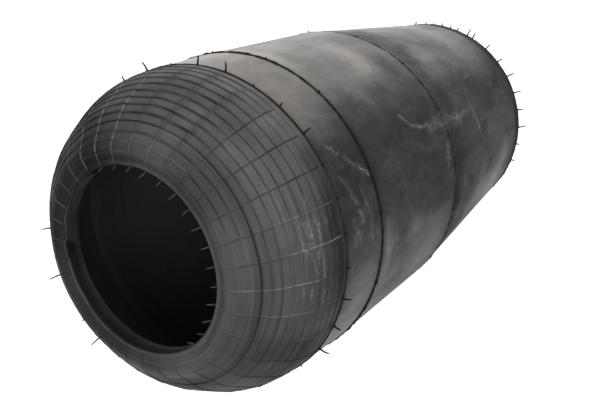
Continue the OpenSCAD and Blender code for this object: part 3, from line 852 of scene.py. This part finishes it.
COVER = moulded_rubber(
    "cover_rubber", (0.004, 0.93, 0.97), (0.045, 1.08, 0.92), 0.42, 0.3, dust=0.7, turned_marks=0.25,
    seed=0.3, wipe=(70, 70, 32), along=0.45, broken=(0.75, 1.5, 1.0)
)
DOME = moulded_rubber(
    "dome_rubber", (0.012, 1.0, 0.99), (0.05, 1.025, 0.97), 0.6, 0.2, dust=0.5, turned_marks=0.7,
    wipe=(45, 45, 520)
)
BEAD = moulded_rubber(
    "bead_rubber", (0.012, 1.03, 1.0), (0.046, 1.04, 0.99), 0.6, 0.22, dust=0.35, turned_marks=0.6,
    chalk_and_highlight=0.13, seed=1.1
)
FOOT = moulded_rubber("foot_rubber", (0.006, 0.98, 0.98), (0.026, 1.04, 0.96), 0.58, 0.22, dust=0.5, seed=2.2)
LINING = moulded_rubber(
    "liner_rubber", (0.035, 1.0, 1.03), (0.2, 1.0, 1.03), 0.75, 0.1, dust=0.08, turned_marks=0.1, seed=3.1
)
OUTER_CORD = cord_fabric("outer_cord_fabric", 1.0)
INNER_CORD = cord_fabric("inner_cord_fabric", -1.0)
FLASH = plain_rubber("flash_rubber", 0.004, 0.75, gloss=0.12)
HAIR = plain_rubber("hair_rubber", 0.022, 0.6, gloss=0.4)
FILLER = plain_rubber("filler_rubber", 0.02, 0.5, 900)
WIRE = bead_wire("bead_wire")
TAPE = wrap_tape("wrap_tape")

RINGS_S = [LIP_S + RING_FIRST + RING_PITCH * k for k in range(RING_COUNT)]


def mouth_strip():
    """The bead strip over the mouth's bead: bore, lip and face, with rings and ribs from the mould."""
    face_rings = [s for s in RINGS_S if s < STRIP_S - 1]
    bore = np.linspace(0, LIP_S - 6, 26)
    lip = np.linspace(LIP_S - 6, LIP_S + 1, 15)[1:]
    s = np.concatenate([bore, lip, ridge_rows(LIP_S + 1, GROOVE_S - 0.05, face_rings, 1.2)[1:]])
    inside = place_on(OUTSIDE, np.linspace(0, STRIP_S, 40), STRIP_T)
    angle, x = rib_columns(place_on(OUTSIDE, s)[:, 0])
    fade = np.clip((s - (LIP_S - 3.5)) / 3.0, 0, 1)
    points, top, low = relief_surface(s, angle, x, face_rings, 0.45, 0.1, fade, GROOVE_S)
    # The lip's painted highlight and the bore's painted shade
    lip_highlight, bore_painted_shade = mouth_marks(s, angle)
    top, low = np.maximum(top, lip_highlight), np.maximum(low * fade[:, None], bore_painted_shade)
    bloom_and_painted_light = bloom_and_painted_light_on_mould(s, angle)
    strip = shell("mouth_bead_strip_moulded", points, inside, angle, s - LIP_S, BEAD, top, low, bloom_and_painted_light=bloom_and_painted_light)
    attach(strip, "mouth_bead")
    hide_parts("mouth_bead_strip", "mouth_face_rings", "mouth_face_ribs")


def mouth_dome():
    """The dome's cover from the bead strip's groove to the straight wall, with rings and ribs from the
    mould."""
    crown_rings = [s for s in RINGS_S if COVER_S + 1 < s < DOME_S - 2.5]
    s = ridge_rows(GROOVE_S + 0.05, DOME_S, crown_rings, 1.2)
    angle, x = rib_columns(place_on(OUTSIDE, s)[:, 0])
    fade = np.clip((DOME_S - 3 - s) / 1.0, 0, 1)
    points, top, low = relief_surface(s, angle, x, crown_rings, 0.5, 0.26, fade, GROOVE_S)
    # The seams' painted shade joins that of the moulded lines
    low = np.maximum(low * fade[:, None], seam_painted_shade(s, angle))
    inside = place_on(OUTSIDE, np.linspace(COVER_S, DOME_S, 30), COVER_IN)
    scuff = scuffs_at(angle, s[:, None] - LIP_S)
    bloom_and_painted_light = bloom_and_painted_light_on_mould(s, angle)
    dome = shell("mouth_dome_cover", points, inside, angle, s - LIP_S, DOME, top, low, scuff, bloom_and_painted_light)
    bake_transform(dome)
    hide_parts("outer_cover", "crown_rings", "crown_ribs")


# Scuffs: points (azimuth, distance down from the lip in mm), half width in mm and strength. The first three
# are pale patches on the dome's +X side.
SCUFFS = (
    (((20, 69), (21, 80), (23, 90)), 4.0, 0.3), (((50, 92), (60, 78)), 6.0, 0.16),
    (((40, 80), (45, 91)), 5.0, 0.16), (((-17, 52), (-14, 66), (-16, 78)), 2.6, 0.3),
    (((-22, 57), (-22, 60)), 1.8, 1.2), (((-41, 60.5), (-35, 60.3)), 0.9, 1.3),
    (((-41.5, 73.8), (-37, 73)), 0.9, 1.1), (((-14, 60), (-21, 66)), 2.4, 0.6),
    (((-28, 65.8), (-22.5, 67.8)), 0.8, 1.5), (((-22.5, 60.5), (-19, 61)), 0.9, 1.4),
    (((-31, 64), (-25, 61)), 0.9, 1.2), (((-38.5, 54.3), (-35, 53.8)), 0.8, 1.2),
    (((-40, 66.8), (-36, 67)), 0.8, 1.2), (((-61, 10), (-57, 11)), 1.2, 0.4),
    (((-15, 62), (-19, 64), (-22, 62)), 2.0, 0.7), (((-25, 58), (-20, 57)), 0.8, 1.1),
    (((-33, 70), (-27, 70.5)), 0.8, 1.1), (((-43, 70.5), (-38, 70)), 0.8, 0.9),
    (((-16, 71), (-20, 70)), 1.0, 0.8), (((-9, 66), (-7, 67)), 1.0, 0.5),
    (((-6, 104), (-14, 113), (-22, 118)), 2.2, 0.4), (((4, 107), (-4, 125), (-9, 137)), 1.6, 0.5),
    (((-20, 106), (-28, 112)), 2.0, 0.3), (((40, 105), (30, 120), (28, 135)), 3.0, 0.2),
    (((-38, 101), (-25, 105)), 1.6, 0.3), (((-12, 122), (-20, 128), (-30, 127)), 1.6, 0.3),
    (((22, 108), (14, 116)), 2.4, 0.2), (((28, 160), (30, 185), (24, 200)), 3.0, 0.2),
    (((24, 206), (28, 214), (24, 224), (33, 232)), 3.6, 0.75), (((30, 227), (50, 234)), 4.0, 0.6),
    (((-27, 147), (-36, 150), (-44, 155)), 1.5, 0.6), (((-30, 163), (-44, 168)), 1.6, 0.5),
    (((-38, 178), (-37, 200)), 3.0, 0.25), (((4, 211), (-1, 221), (-3, 234), (-4, 246)), 1.3, 1.1),
    (((-5, 245), (-4, 262), (-6, 275)), 3.6, 0.5), (((-5, 275), (-6, 300), (-7, 318)), 4.0, 0.6),
    (((-6, 318), (-6, 350)), 2.0, 0.6), (((-4, 351), (-7, 353)), 2.6, 1.1),
    (((-7, 353), (-14, 356), (-20, 362), (-24, 368)), 1.3, 1.1), (((-22, 264), (-14, 270)), 2.6, 0.6),
    (((-4, 249), (-7, 252)), 1.1, 0.7), (((12, 200), (12, 185), (9, 168)), 1.0, 0.2),
    (((-42, 305), (-30, 303)), 1.3, 1.0), (((-48, 299), (-40, 307)), 2.2, 0.6),
    (((-50, 289), (-42, 287)), 1.3, 0.6), (((-46, 118), (-56, 119)), 0.9, 0.8),
    (((-48, 124), (-57, 125)), 0.9, 0.7), (((-45, 131), (-52, 131)), 0.8, 0.7),
    (((-49, 137), (-58, 138)), 0.9, 0.8), (((-47, 144), (-54, 145)), 0.8, 0.7),
    (((-36, 311), (-24, 309)), 0.9, 0.6), (((24, 299), (23, 330), (26, 352)), 5.0, 0.4),
    (((29, 310), (31, 340)), 3.0, 0.3), (((12, 299), (13, 335)), 1.3, 0.4),
    (((8, 371), (9, 395)), 1.2, 0.4), (((10, 400), (12, 430)), 1.1, 0.3),
    (((16, 404), (16, 416)), 1.1, 0.4), (((-28, 422), (-24, 426)), 4.0, 0.35),
    (((-8, 430), (2, 436), (12, 433)), 2.5, 0.2), (((35, 400), (30, 440)), 3.0, 0.2),
    (((150, 200), (165, 210), (172, 196)), 4.0, 0.45), (((-120, 340), (-110, 320), (-104, 330)), 4.0, 0.4),
    (((-150, 160), (-141, 165)), 2.6, 0.6), (((100, 400), (108, 392)), 3.4, 0.5),
    (((-95, 210), (-82, 218)), 3.0, 0.4), (((122, 120), (131, 128)), 2.0, 0.5),
    (((-170, 300), (-163, 318), (-166, 345)), 2.6, 0.5), (((88, 300), (97, 306)), 2.0, 0.5),
    (((-125, 112), (-116, 118)), 2.0, 0.4),
)


# Millimetres round the wall for each degree
DEGREE = 2.1


def scuffs_at(angle, down):
    """Chalk on the rubber: each scuff's path in short uneven strokes, and over the distance to a stroke a
    bell with the stroke's own width and strength."""
    azimuth, down = np.broadcast_arrays(azimuth_of(angle), down)
    random = np.random.default_rng(17)
    total = np.zeros(azimuth.shape)
    for path, width, strength in SCUFFS:
        path = np.array(path, float)
        middle = path[:, 0].mean()
        knots = np.stack([(path[:, 0] - middle) * DEGREE, path[:, 1]], -1)
        run = lengths(knots)
        line = at_lengths(knots, run, np.linspace(0, run[-1], max(2, int(run[-1] / 2.6)) + 1))
        line[1:-1] += random.normal(0, 0.3 + 0.13 * width, line[1:-1].shape)
        widths = width * random.uniform(0.55, 1.15, len(line) - 1)
        powers = strength * random.uniform(0.3, 1.0, len(line) - 1)
        across = turn_from(middle, azimuth) * DEGREE
        low, high = line.min(0) - 3 * width, line.max(0) + 3 * width
        near = (across > low[0]) & (across < high[0]) & (down > low[1]) & (down < high[1])
        place = np.stack([across[near], down[near]], -1)
        best = np.zeros(len(place))
        for a, b, size, power in zip(line, line[1:], widths, powers):
            t = np.clip(((place - a) @ (b - a)) / ((b - a) @ (b - a)), 0, 1)
            gap = np.linalg.norm(place - a - t[:, None] * (b - a), axis=1)
            best = np.maximum(best, power * bell(gap, size))
        total[near] = np.maximum(total[near], best)
    return total


def wall_pieces():
    """The straight wall's cover in three stretches that meet under the mould seams."""
    stretches = (
        ("upper_wall_cover", DOME_S, UPPER_SEAM_S, 1.1),
        ("middle_wall_cover", UPPER_SEAM_S, LOWER_SEAM_S, 1.1),
        ("lower_wall_cover", LOWER_SEAM_S, WALL_FOOT_S, 1.5),
    )
    # More columns on the near side, which has the most scuffs
    near = np.linspace(-155, -25, 331)[:-1]
    around = np.radians(np.r_[near, np.linspace(-25, 205, 271)[:-1]])
    for name, start, end, gap in stretches:
        rows = int((end - start) / gap)
        s = np.linspace(start, end, rows)
        angle = np.broadcast_to(around, (rows, len(around)))
        points = raised_by(s, uneven(angle, s[:, None]))
        inside = place_on(OUTSIDE, np.linspace(start, end, 12), COVER_IN)
        # The wall's marks: painted shade at the seams, scuffs, and bloom with painted light
        piece = shell(
            name, turned(points, angle), inside, angle, s - LIP_S, COVER, low=seam_painted_shade(s, angle),
            scuff=scuffs_at(angle, s[:, None] - LIP_S), bloom_and_painted_light=bloom_and_painted_light_on_wall(s, angle)
        )
        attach(piece, "sleeve")
        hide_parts("outer_cover")


LAYERS = (
    ("outer_cord_ply", ply_line, OUTER_HOOK, OUTER_PLY, OUTER_CORD, "cord_fabric"),
    ("inner_cord_ply", ply_line, INNER_HOOK, INNER_PLY, INNER_CORD, "cord_fabric"),
    ("inner_liner", liner_line, LINER_HOOK, LINER, LINING, "liner_rubber"),
)


def layer_pieces():
    """The two plies and the liner: each in a stretch at the mouth and one in the straight wall."""
    cols = 128
    around = np.arange(cols) * 2 * math.pi / cols
    stretches = ("mouth", DOME_FOOT_Z, None, 110), ("wall", WALL_FOOT_Z, DOME_FOOT_Z, 40)
    for name, line, reach, depth, material, slot in LAYERS:
        faces = [line(r, d) for r, d in zip(reach, depth)]
        for where, above, below, count in stretches:
            outer, inner = (part_of(f, above, below, count) for f in faces)
            angle = np.broadcast_to(around, (count, cols))
            down = np.linspace(0, count * 2.0, count)
            piece = shell(f"{name}_{where}", turned(outer, angle), inner, angle, down, material)
            if where == "mouth":
                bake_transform(piece)
            else:
                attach(piece, "sleeve")
            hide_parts(name)


def closed_sheet(rows, cols, first):
    """Faces of a sheet between two grids of points, numbered from first: its two sides and its four
    edges."""
    size = rows * cols
    index = np.arange(size).reshape(rows, cols) + first
    faces = [grid_faces(rows, cols, False, False, first)]
    faces.append(grid_faces(rows, cols, False, False, first + size)[:, ::-1])
    for edge in (index[0][::-1], index[-1], index[:, 0], index[:, -1][::-1]):
        faces.append(np.stack([edge[:-1], edge[:-1] + size, edge[1:] + size, edge[1:]], -1))
    return np.concatenate(faces)


def joined_sheets(name, sheets):
    """One mesh of closed sheets, a material for each: outer and inner points, the way down, chalk and painted
    highlight on crests, and painted shade in feet."""
    points, faces, owner = [], [], []
    marks = {"rest": [], "crest": [], "foot": [], "scuff": [], "bloom_and_painted_light": []}
    count = 0
    for number, (outer, inner, down, top, low) in enumerate(sheets):
        rows, cols = outer.shape[:2]
        blank = np.zeros(rows * cols)
        faces.append(closed_sheet(rows, cols, count))
        owner.append(np.full(len(faces[-1]), number))
        points.extend([outer.reshape(-1, 3), inner.reshape(-1, 3)])
        for grid in (outer, inner):
            around = np.arctan2(grid[..., 1], grid[..., 0])
            marks["rest"].append(rest_marks(np.hypot(grid[..., 0], grid[..., 1]), around, down[:, None]))
        marks["crest"].extend([np.broadcast_to(top, (rows, cols)).ravel(), blank])
        marks["foot"].extend([np.broadcast_to(low, (rows, cols)).ravel(), blank])
        marks["scuff"].extend([blank, blank])
        marks["bloom_and_painted_light"].extend([blank + 0.5, blank])
        count += 2 * rows * cols
    marks = {key: np.concatenate(value) for key, value in marks.items()}
    points, faces, owner = (np.concatenate(parts) for parts in (points, faces, owner))
    return make_piece(name, points, faces, [FOOT, OUTER_CORD, INNER_CORD, LINING], marks, owner)


def foot_sectors():
    """The foot dome as a sector from each rib to the next. A sector holds the cover, both plies and the
    liner."""
    rings = [FOOT_COVER_S - FOOT_PITCH * k for k in range(FOOT_RINGS, 0, -1)]
    s = ridge_rows(WALL_FOOT_S, FOOT_COVER_S, rings, 2.0)
    # The columns from the first rib's middle to the second's
    base_angle, x = (columns[:, 3:15] for columns in rib_columns(place_on(OUTSIDE, s)[:, 0], 2))
    ribbed = np.clip((s - (rings[0] - FOOT_PITCH)) / 1.0, 0, 1)
    lines = [
        [part_of(line(r, d), None, WALL_FOOT_Z, 60) for r, d in zip(reach, depth)]
        for _, line, reach, depth, _, _ in LAYERS
    ]
    cover_in = place_on(OUTSIDE, s, COVER_IN)
    pitch = 2 * math.pi / RIBS
    for k in range(RIBS):
        angle = base_angle + k * pitch
        outside, top, low = relief_surface(s, angle, x, rings, 0.4, 0.0, ribbed)
        # The seams' and rim's painted shade joins that of the moulded lines
        low = np.maximum(low * ribbed[:, None], seam_painted_shade(s, angle))
        sheets = [(outside, turned(cover_in, angle), s - LIP_S, top, low)]
        for outer, inner in lines:
            grid = np.broadcast_to(k * pitch + np.linspace(0, pitch, 5), (len(outer), 5))
            down = np.linspace(520, 620, len(outer))
            sheets.append((turned(outer, grid), turned(inner, grid), down, 0.0, 0.0))
        piece = joined_sheets(f"foot_dome_sector_{k + 1:02d}", sheets)
        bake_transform(piece)
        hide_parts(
            "outer_cover", "outer_cord_ply", "inner_cord_ply", "inner_liner", "foot_rings", "foot_ribs"
        )


def foot_strip():
    """The bead strip over the foot's bead, from its edge on the cone over the lip to its toe."""
    end = OUTSIDE_S[-1]
    s = np.linspace(FOOT_STRIP_S, end, 90)
    angle = rib_columns(place_on(OUTSIDE, s)[:, 0])[0]
    points = raised_by(s, 0.3 * uneven(angle, s[:, None]))
    inside = place_on(OUTSIDE, np.linspace(FOOT_STRIP_S, end, 40), STRIP_T)
    strip = shell("foot_bead_strip_moulded", turned(points, angle), inside, angle, s - LIP_S, BEAD)
    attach(strip, "foot_bead")
    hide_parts("foot_bead_strip")


# A flash's section: how far out, as a share of its height, or in mm under the skin where it is negative,
# and how far up
FIN = np.array(((-0.35, -1.2), (0.1, -0.9), (0.8, -0.5), (1.0, 0.0), (0.8, 0.5), (0.1, 0.9), (-0.35, 1.2)))
# Flash at the mould joints: node, radius, height, seed, height of the fin, how ragged, how much is wiped off
FLASHES = (
    ("parting_flash", PARTING_R, PARTING_Z, 3, 0.8, 0.7, 0.85),
    ("upper_seam_flash", UPPER_SEAM_R, UPPER_SEAM_Z, 4, 1.15, 0.7, 0.0),
    ("lower_seam_flash", LOWER_SEAM_R, LOWER_SEAM_Z, 5, 1.0, 1.6, 0.0),
    ("rim_flash", RIM_R, RIM_Z, 6, 0.8, 0.7, 0.0),
)


def ragged_flash(name, radius, z, seed, height, ragged, wiped):
    """Flash at a mould joint: a thin fin round the wall whose height and place waver, torn short here and
    there. The share wiped of it is missing on the near side, where the joint has been rubbed down."""
    random = np.random.default_rng(seed)
    cols = 720
    angle = np.arange(cols) * 2 * math.pi / cols
    waves = 3, 7, 13, 29, 61, 97
    waver = sum(random.uniform(-1, 1) * np.sin(k * angle + random.uniform(0, 6)) for k in waves)
    torn = np.convolve(random.uniform(0, 1, cols) ** 3, np.ones(5) / 5, "same")
    high = height * np.clip(0.9 - 0.5 * ragged + 0.16 * waver + ragged * torn, 0.15, 1.35)
    high = high * (1 - wiped * stretch_of(azimuth_of(angle), -38, 8, 9.0))
    share, up = FIN.T[:, :, None]
    out = np.maximum(share, 0) * high + np.minimum(share, 0)
    points = np.stack([radius + 0.05 + out, z + 0.12 * waver + up + 0 * angle], -1)
    faces = grid_faces(len(FIN), cols, True, True)
    piece = make_piece(f"{name}_torn", turned(points, angle), faces, [FLASH])
    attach(piece, "sleeve")
    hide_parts(name)


def hair_set(name, azimuth, radius, z, length, lean, thick, seed, body, node_name=None, material=FLASH):
    """Rubber hairs from the mould's vents: thin tapering stalks that bend. Each starts at its own azimuth
    in degrees from the near side, leans up by lean degrees from straight out, and ends in a rounded tip."""
    random = np.random.default_rng(seed)
    count, rings, sides = len(azimuth), 9, 8
    turn = np.radians(azimuth) - math.pi / 2
    out = np.stack([np.cos(turn), np.sin(turn), 0 * turn], -1)
    side = np.stack([-np.sin(turn), np.cos(turn), 0 * turn], -1)
    up = np.array((0, 0, 1.0))
    lean = np.radians(lean)[:, None]
    way = out * np.cos(lean) + up * np.sin(lean)
    across = np.cross(way, side)
    bend = random.uniform(-1, 1, (count, 2)) * 0.22
    t = np.r_[0, np.linspace(0.02, 1, rings - 1)]
    reach = length[:, None] * t[None, :]
    radius, z = np.reshape(radius, (-1, 1)), np.reshape(z, (-1, 1))
    curve = (
        (out * radius + up * z)[:, None, :] + way[:, None, :] * reach[..., None]
        + (side * bend[:, :1] + across * bend[:, 1:])[:, None, :] * (reach * t[None, :] ** 1.5)[..., None]
    )
    width = thick * (1.0 - 0.35 * t) * np.where(t > 0.97, 0.45, 1.0) * np.where(t < 0.12, 1.35, 1.0)
    spin = np.arange(sides) * 2 * math.pi / sides
    disc = side[:, None, None, :] * np.cos(spin)[:, None] + across[:, None, None, :] * np.sin(spin)[:, None]
    points = curve[:, :, None, :] + disc * (width / 2)[None, :, None, None]
    stalks = [grid_faces(rings, sides, False, True, k * rings * sides) for k in range(count)]
    first = (np.arange(count) * rings * sides)[:, None, None]
    cap = np.array(((0, 1, 2, 3), (0, 3, 4, 7), (4, 5, 6, 7)))
    root, tip = (first + ring * sides + cap for ring in (0, rings - 1))
    faces = np.concatenate(stalks + [root.reshape(-1, 4)[:, ::-1], tip.reshape(-1, 4)])
    piece = make_piece(name, points, faces, [material])
    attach(piece, body)
    if node_name:
        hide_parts(node_name)


def even_azimuths(count):
    """Azimuths of count places evenly round the axis, from -180 to 180."""
    return (np.arange(count) * 360.0 / count + 180) % 360 - 180


# Hairs seen on the parting line: azimuth, and length and lean
PARTING_HAIRS = {
    78.75: (7.5, 5), 90: (6.5, 25), 56.25: (6.5, -5), 45: (7, -5), 22.5: (3.8, -10), 11.25: (6, -30),
    -11.25: (1.2, 0), -33.75: (2.5, 10), -45: (5.5, -10), -56.25: (6, 0), -67.5: (8, -10), 67.5: (1.2, 0),
    33.75: (1.5, 0), 0: (1.0, 0), -22.5: (1.5, 0), -78.75: (1.3, 0), -90: (0.9, 0),
}
# Hairs seen on the rim that are torn short or stand long: azimuth and length
RIM_HAIRS_SEEN = {
    70: 1.2, 66.5: 3.6, 60: 2.4, 54.5: 1.8, 50: 3.4, 44.5: 2.8, 40: 3.6, 33.5: 7.5, 30: 7.0, -40: 3.6,
    -50: 4.0, -60: 1.6, -70: 1.2, -80: 1.5,
}
# Azimuths of four odd hairs between the rim's even ones
ODD_RIM_HAIRS = (66.5, 54.5, 44.5, 33.5)
# Radius and height at which the lip's hairs stand
LIP_HAIR_R, LIP_HAIR_Z = 66.6, 512.8
# Four hairs on the mouth's face and the dome's far side: azimuth, radius, height, length and lean
FACE_HAIRS = np.array((
    (146.8, 95.6, 501.4, 6.8, 30), (166.5, 77.7, 514.8, 9.2, 50), (-154, 78.0, 514.7, 8.5, 60),
    (-167, 79.3, 514.4, 2.5, 15),
))


def parting_hairs(random):
    """A hair at each rib's end on the dome's parting line."""
    azimuth = even_azimuths(RIBS)
    length, lean = random.uniform(4.5, 8.2, RIBS), random.uniform(-14, 14, RIBS)
    for place, seen in PARTING_HAIRS.items():
        near = np.abs(azimuth - place) < 1
        length[near], lean[near] = seen
    radius = PARTING_R + 0.3
    hair_set("parting_hairs", azimuth, radius, PARTING_Z, length, lean, 1.45, 21, "sleeve", "shoulder_hairs")


def rim_hairs(random):
    """Hairs round the rim, bent towards the foot."""
    azimuth = np.r_[even_azimuths(RIM_HAIRS), ODD_RIM_HAIRS]
    length, lean = random.uniform(6.0, 9.0, len(azimuth)), random.uniform(-34, -8, len(azimuth))
    for place, seen in RIM_HAIRS_SEEN.items():
        length[np.abs(azimuth - place) < 1] = seen
    hair_set("rim_hairs_bent", azimuth, RIM_R + 0.3, RIM_Z, length, lean, 1.5, 22, "sleeve", "rim_hairs")


def lip_hairs(random):
    """Hairs that stand into the mouth from its lip on the near side, and the four on its face."""
    near = even_azimuths(RIBS)
    near = near[np.abs(near) < 83]
    count = len(near)
    length, lean = random.uniform(5.4, 7.8, count), random.uniform(112, 126, count)
    lip = [near, np.full(count, LIP_HAIR_R), np.full(count, LIP_HAIR_Z), length, lean]
    azimuth, radius, z, length, lean = np.concatenate([lip, FACE_HAIRS.T], axis=1)
    hair_set("lip_hairs", azimuth, radius, z, length, lean, 1.2, 23, "mouth_bead", None, HAIR)


def seam_nubs(random):
    """Torn nubs on both seams of the straight wall."""
    seams = (
        ("upper_seam_nubs", UPPER_SEAM_Z, UPPER_SEAM_R + 0.2, 24),
        ("lower_seam_nubs", LOWER_SEAM_Z, LOWER_SEAM_R + 0.2, 25),
    )
    for name, z, radius, seed in seams:
        length, lean = random.uniform(0.9, 2.0, NUBS), random.uniform(-20, 20, NUBS)
        hair_set(f"{name}_torn", even_azimuths(NUBS), radius, z, length, lean, 1.3, seed, "sleeve", name)


def dress_cores():
    """Finishes for the CAD solids inside the beads."""
    for end in ("mouth", "foot"):
        for part, material in (("wires", WIRE), ("wrap", TAPE), ("filler", FILLER)):
            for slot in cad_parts[f"{end}_bead_{part}"].material_slots:
                slot.material = material


# Floor, world and lamps

# Light that the floor gives the eye, and plain light of the world
FLOOR_GLOW = 0.715
WORLD_LIGHT = 0.36
# Softboxes: azimuth from the near side, elevation and watts. Each is square and aims at the object's middle
SOFTBOXES = (("side", 30, 12, 19), ("front", -12, 12, 6), ("high", -30, 48, 6), ("back", -150, 12, 3))
BOX_SIDE, BOX_AWAY, OBJECT_MIDDLE = 0.9, 1.6, np.array((0, 0, 0.3))


def studio_floor():
    """A pale floor: plain to lamps, and white to the eye except where the object shades it. To reflections
    it is white at the object's +X side and far off at its -X side, with a dim strip between."""
    material, tree, shader = new_material("studio_floor")
    rays = node(tree, "ShaderNodeLightPath")
    place = node(tree, "ShaderNodeTexCoord").outputs["Object"]
    x = node(tree, "ShaderNodeSeparateXYZ", {0: place}).outputs[0]
    pale = sums(tree, "ADD", span(tree, x, 0.02, 0.13), span(tree, x, -0.42, -0.28, 0.9, 0.0))
    mirrored = sums(tree, "ADD", rays.outputs["Is Glossy Ray"], rays.outputs["Is Transmission Ray"])
    seen = sums(tree, "MULTIPLY", rays.outputs["Is Camera Ray"], FLOOR_GLOW)
    strength = sums(tree, "ADD", seen, sums(tree, "MULTIPLY", mirrored, pale))
    fill(tree, shader, {
        "Base Color": grey(0.8), "Roughness": 0.9, "Specular IOR Level": 0.0, "Emission Color": grey(1.0),
        "Emission Strength": strength,
    })
    data = bpy.data.meshes.new("studio_floor")
    data.from_pydata([(-9, -9, 0), (9, -9, 0), (9, 9, 0), (-9, 9, 0)], [], [(0, 1, 2, 3)])
    data.materials.append(material)
    added("studio_floor", data)


def studio_world(level):
    """White to the eye and to reflections, and a plain level of light for the rest."""
    world = bpy.data.worlds.new("studio_world")
    world.use_nodes = True
    tree = world.node_tree
    tree.nodes.clear()
    rays = node(tree, "ShaderNodeLightPath")
    seen = sums(tree, "ADD", rays.outputs["Is Camera Ray"], rays.outputs["Is Glossy Ray"])
    seen = sums(tree, "ADD", seen, rays.outputs["Is Transmission Ray"])
    strength = span(tree, seen, 0, 1, level, 1.0)
    sky = node(tree, "ShaderNodeBackground", {"Color": grey(1.0), "Strength": strength})
    node(tree, "ShaderNodeOutputWorld", {"Surface": sky.outputs[0]})
    bpy.context.scene.world = world


def softbox(name, azimuth, elevation, power):
    """A square soft lamp that aims at the object's middle, from an azimuth and an elevation."""
    data = bpy.data.lights.new(name, "AREA")
    data.shape, data.size, data.energy = "SQUARE", BOX_SIDE, power
    a, e = math.radians(azimuth), math.radians(elevation)
    away = np.array((math.sin(a) * math.cos(e), -math.cos(a) * math.cos(e), math.sin(e)))
    side = unit(np.cross((0.0, 0.3, 1.0), away))
    set_axes(added(name, data), side, np.cross(away, side), away, OBJECT_MIDDLE + BOX_AWAY * away)


mouth_strip()
mouth_dome()
wall_pieces()
layer_pieces()
foot_sectors()
foot_strip()
for flash in FLASHES:
    ragged_flash(*flash)
draws = np.random.default_rng(11)
for hairs in (parting_hairs, rim_hairs, lip_hairs, seam_nubs):
    hairs(draws)
dress_cores()
studio_floor()
studio_world(WORLD_LIGHT)
for name, azimuth, elevation, power in SOFTBOXES:
    softbox(f"{name}_softbox", azimuth, elevation, power)

bpy.context.scene.view_settings.view_transform = "Standard"
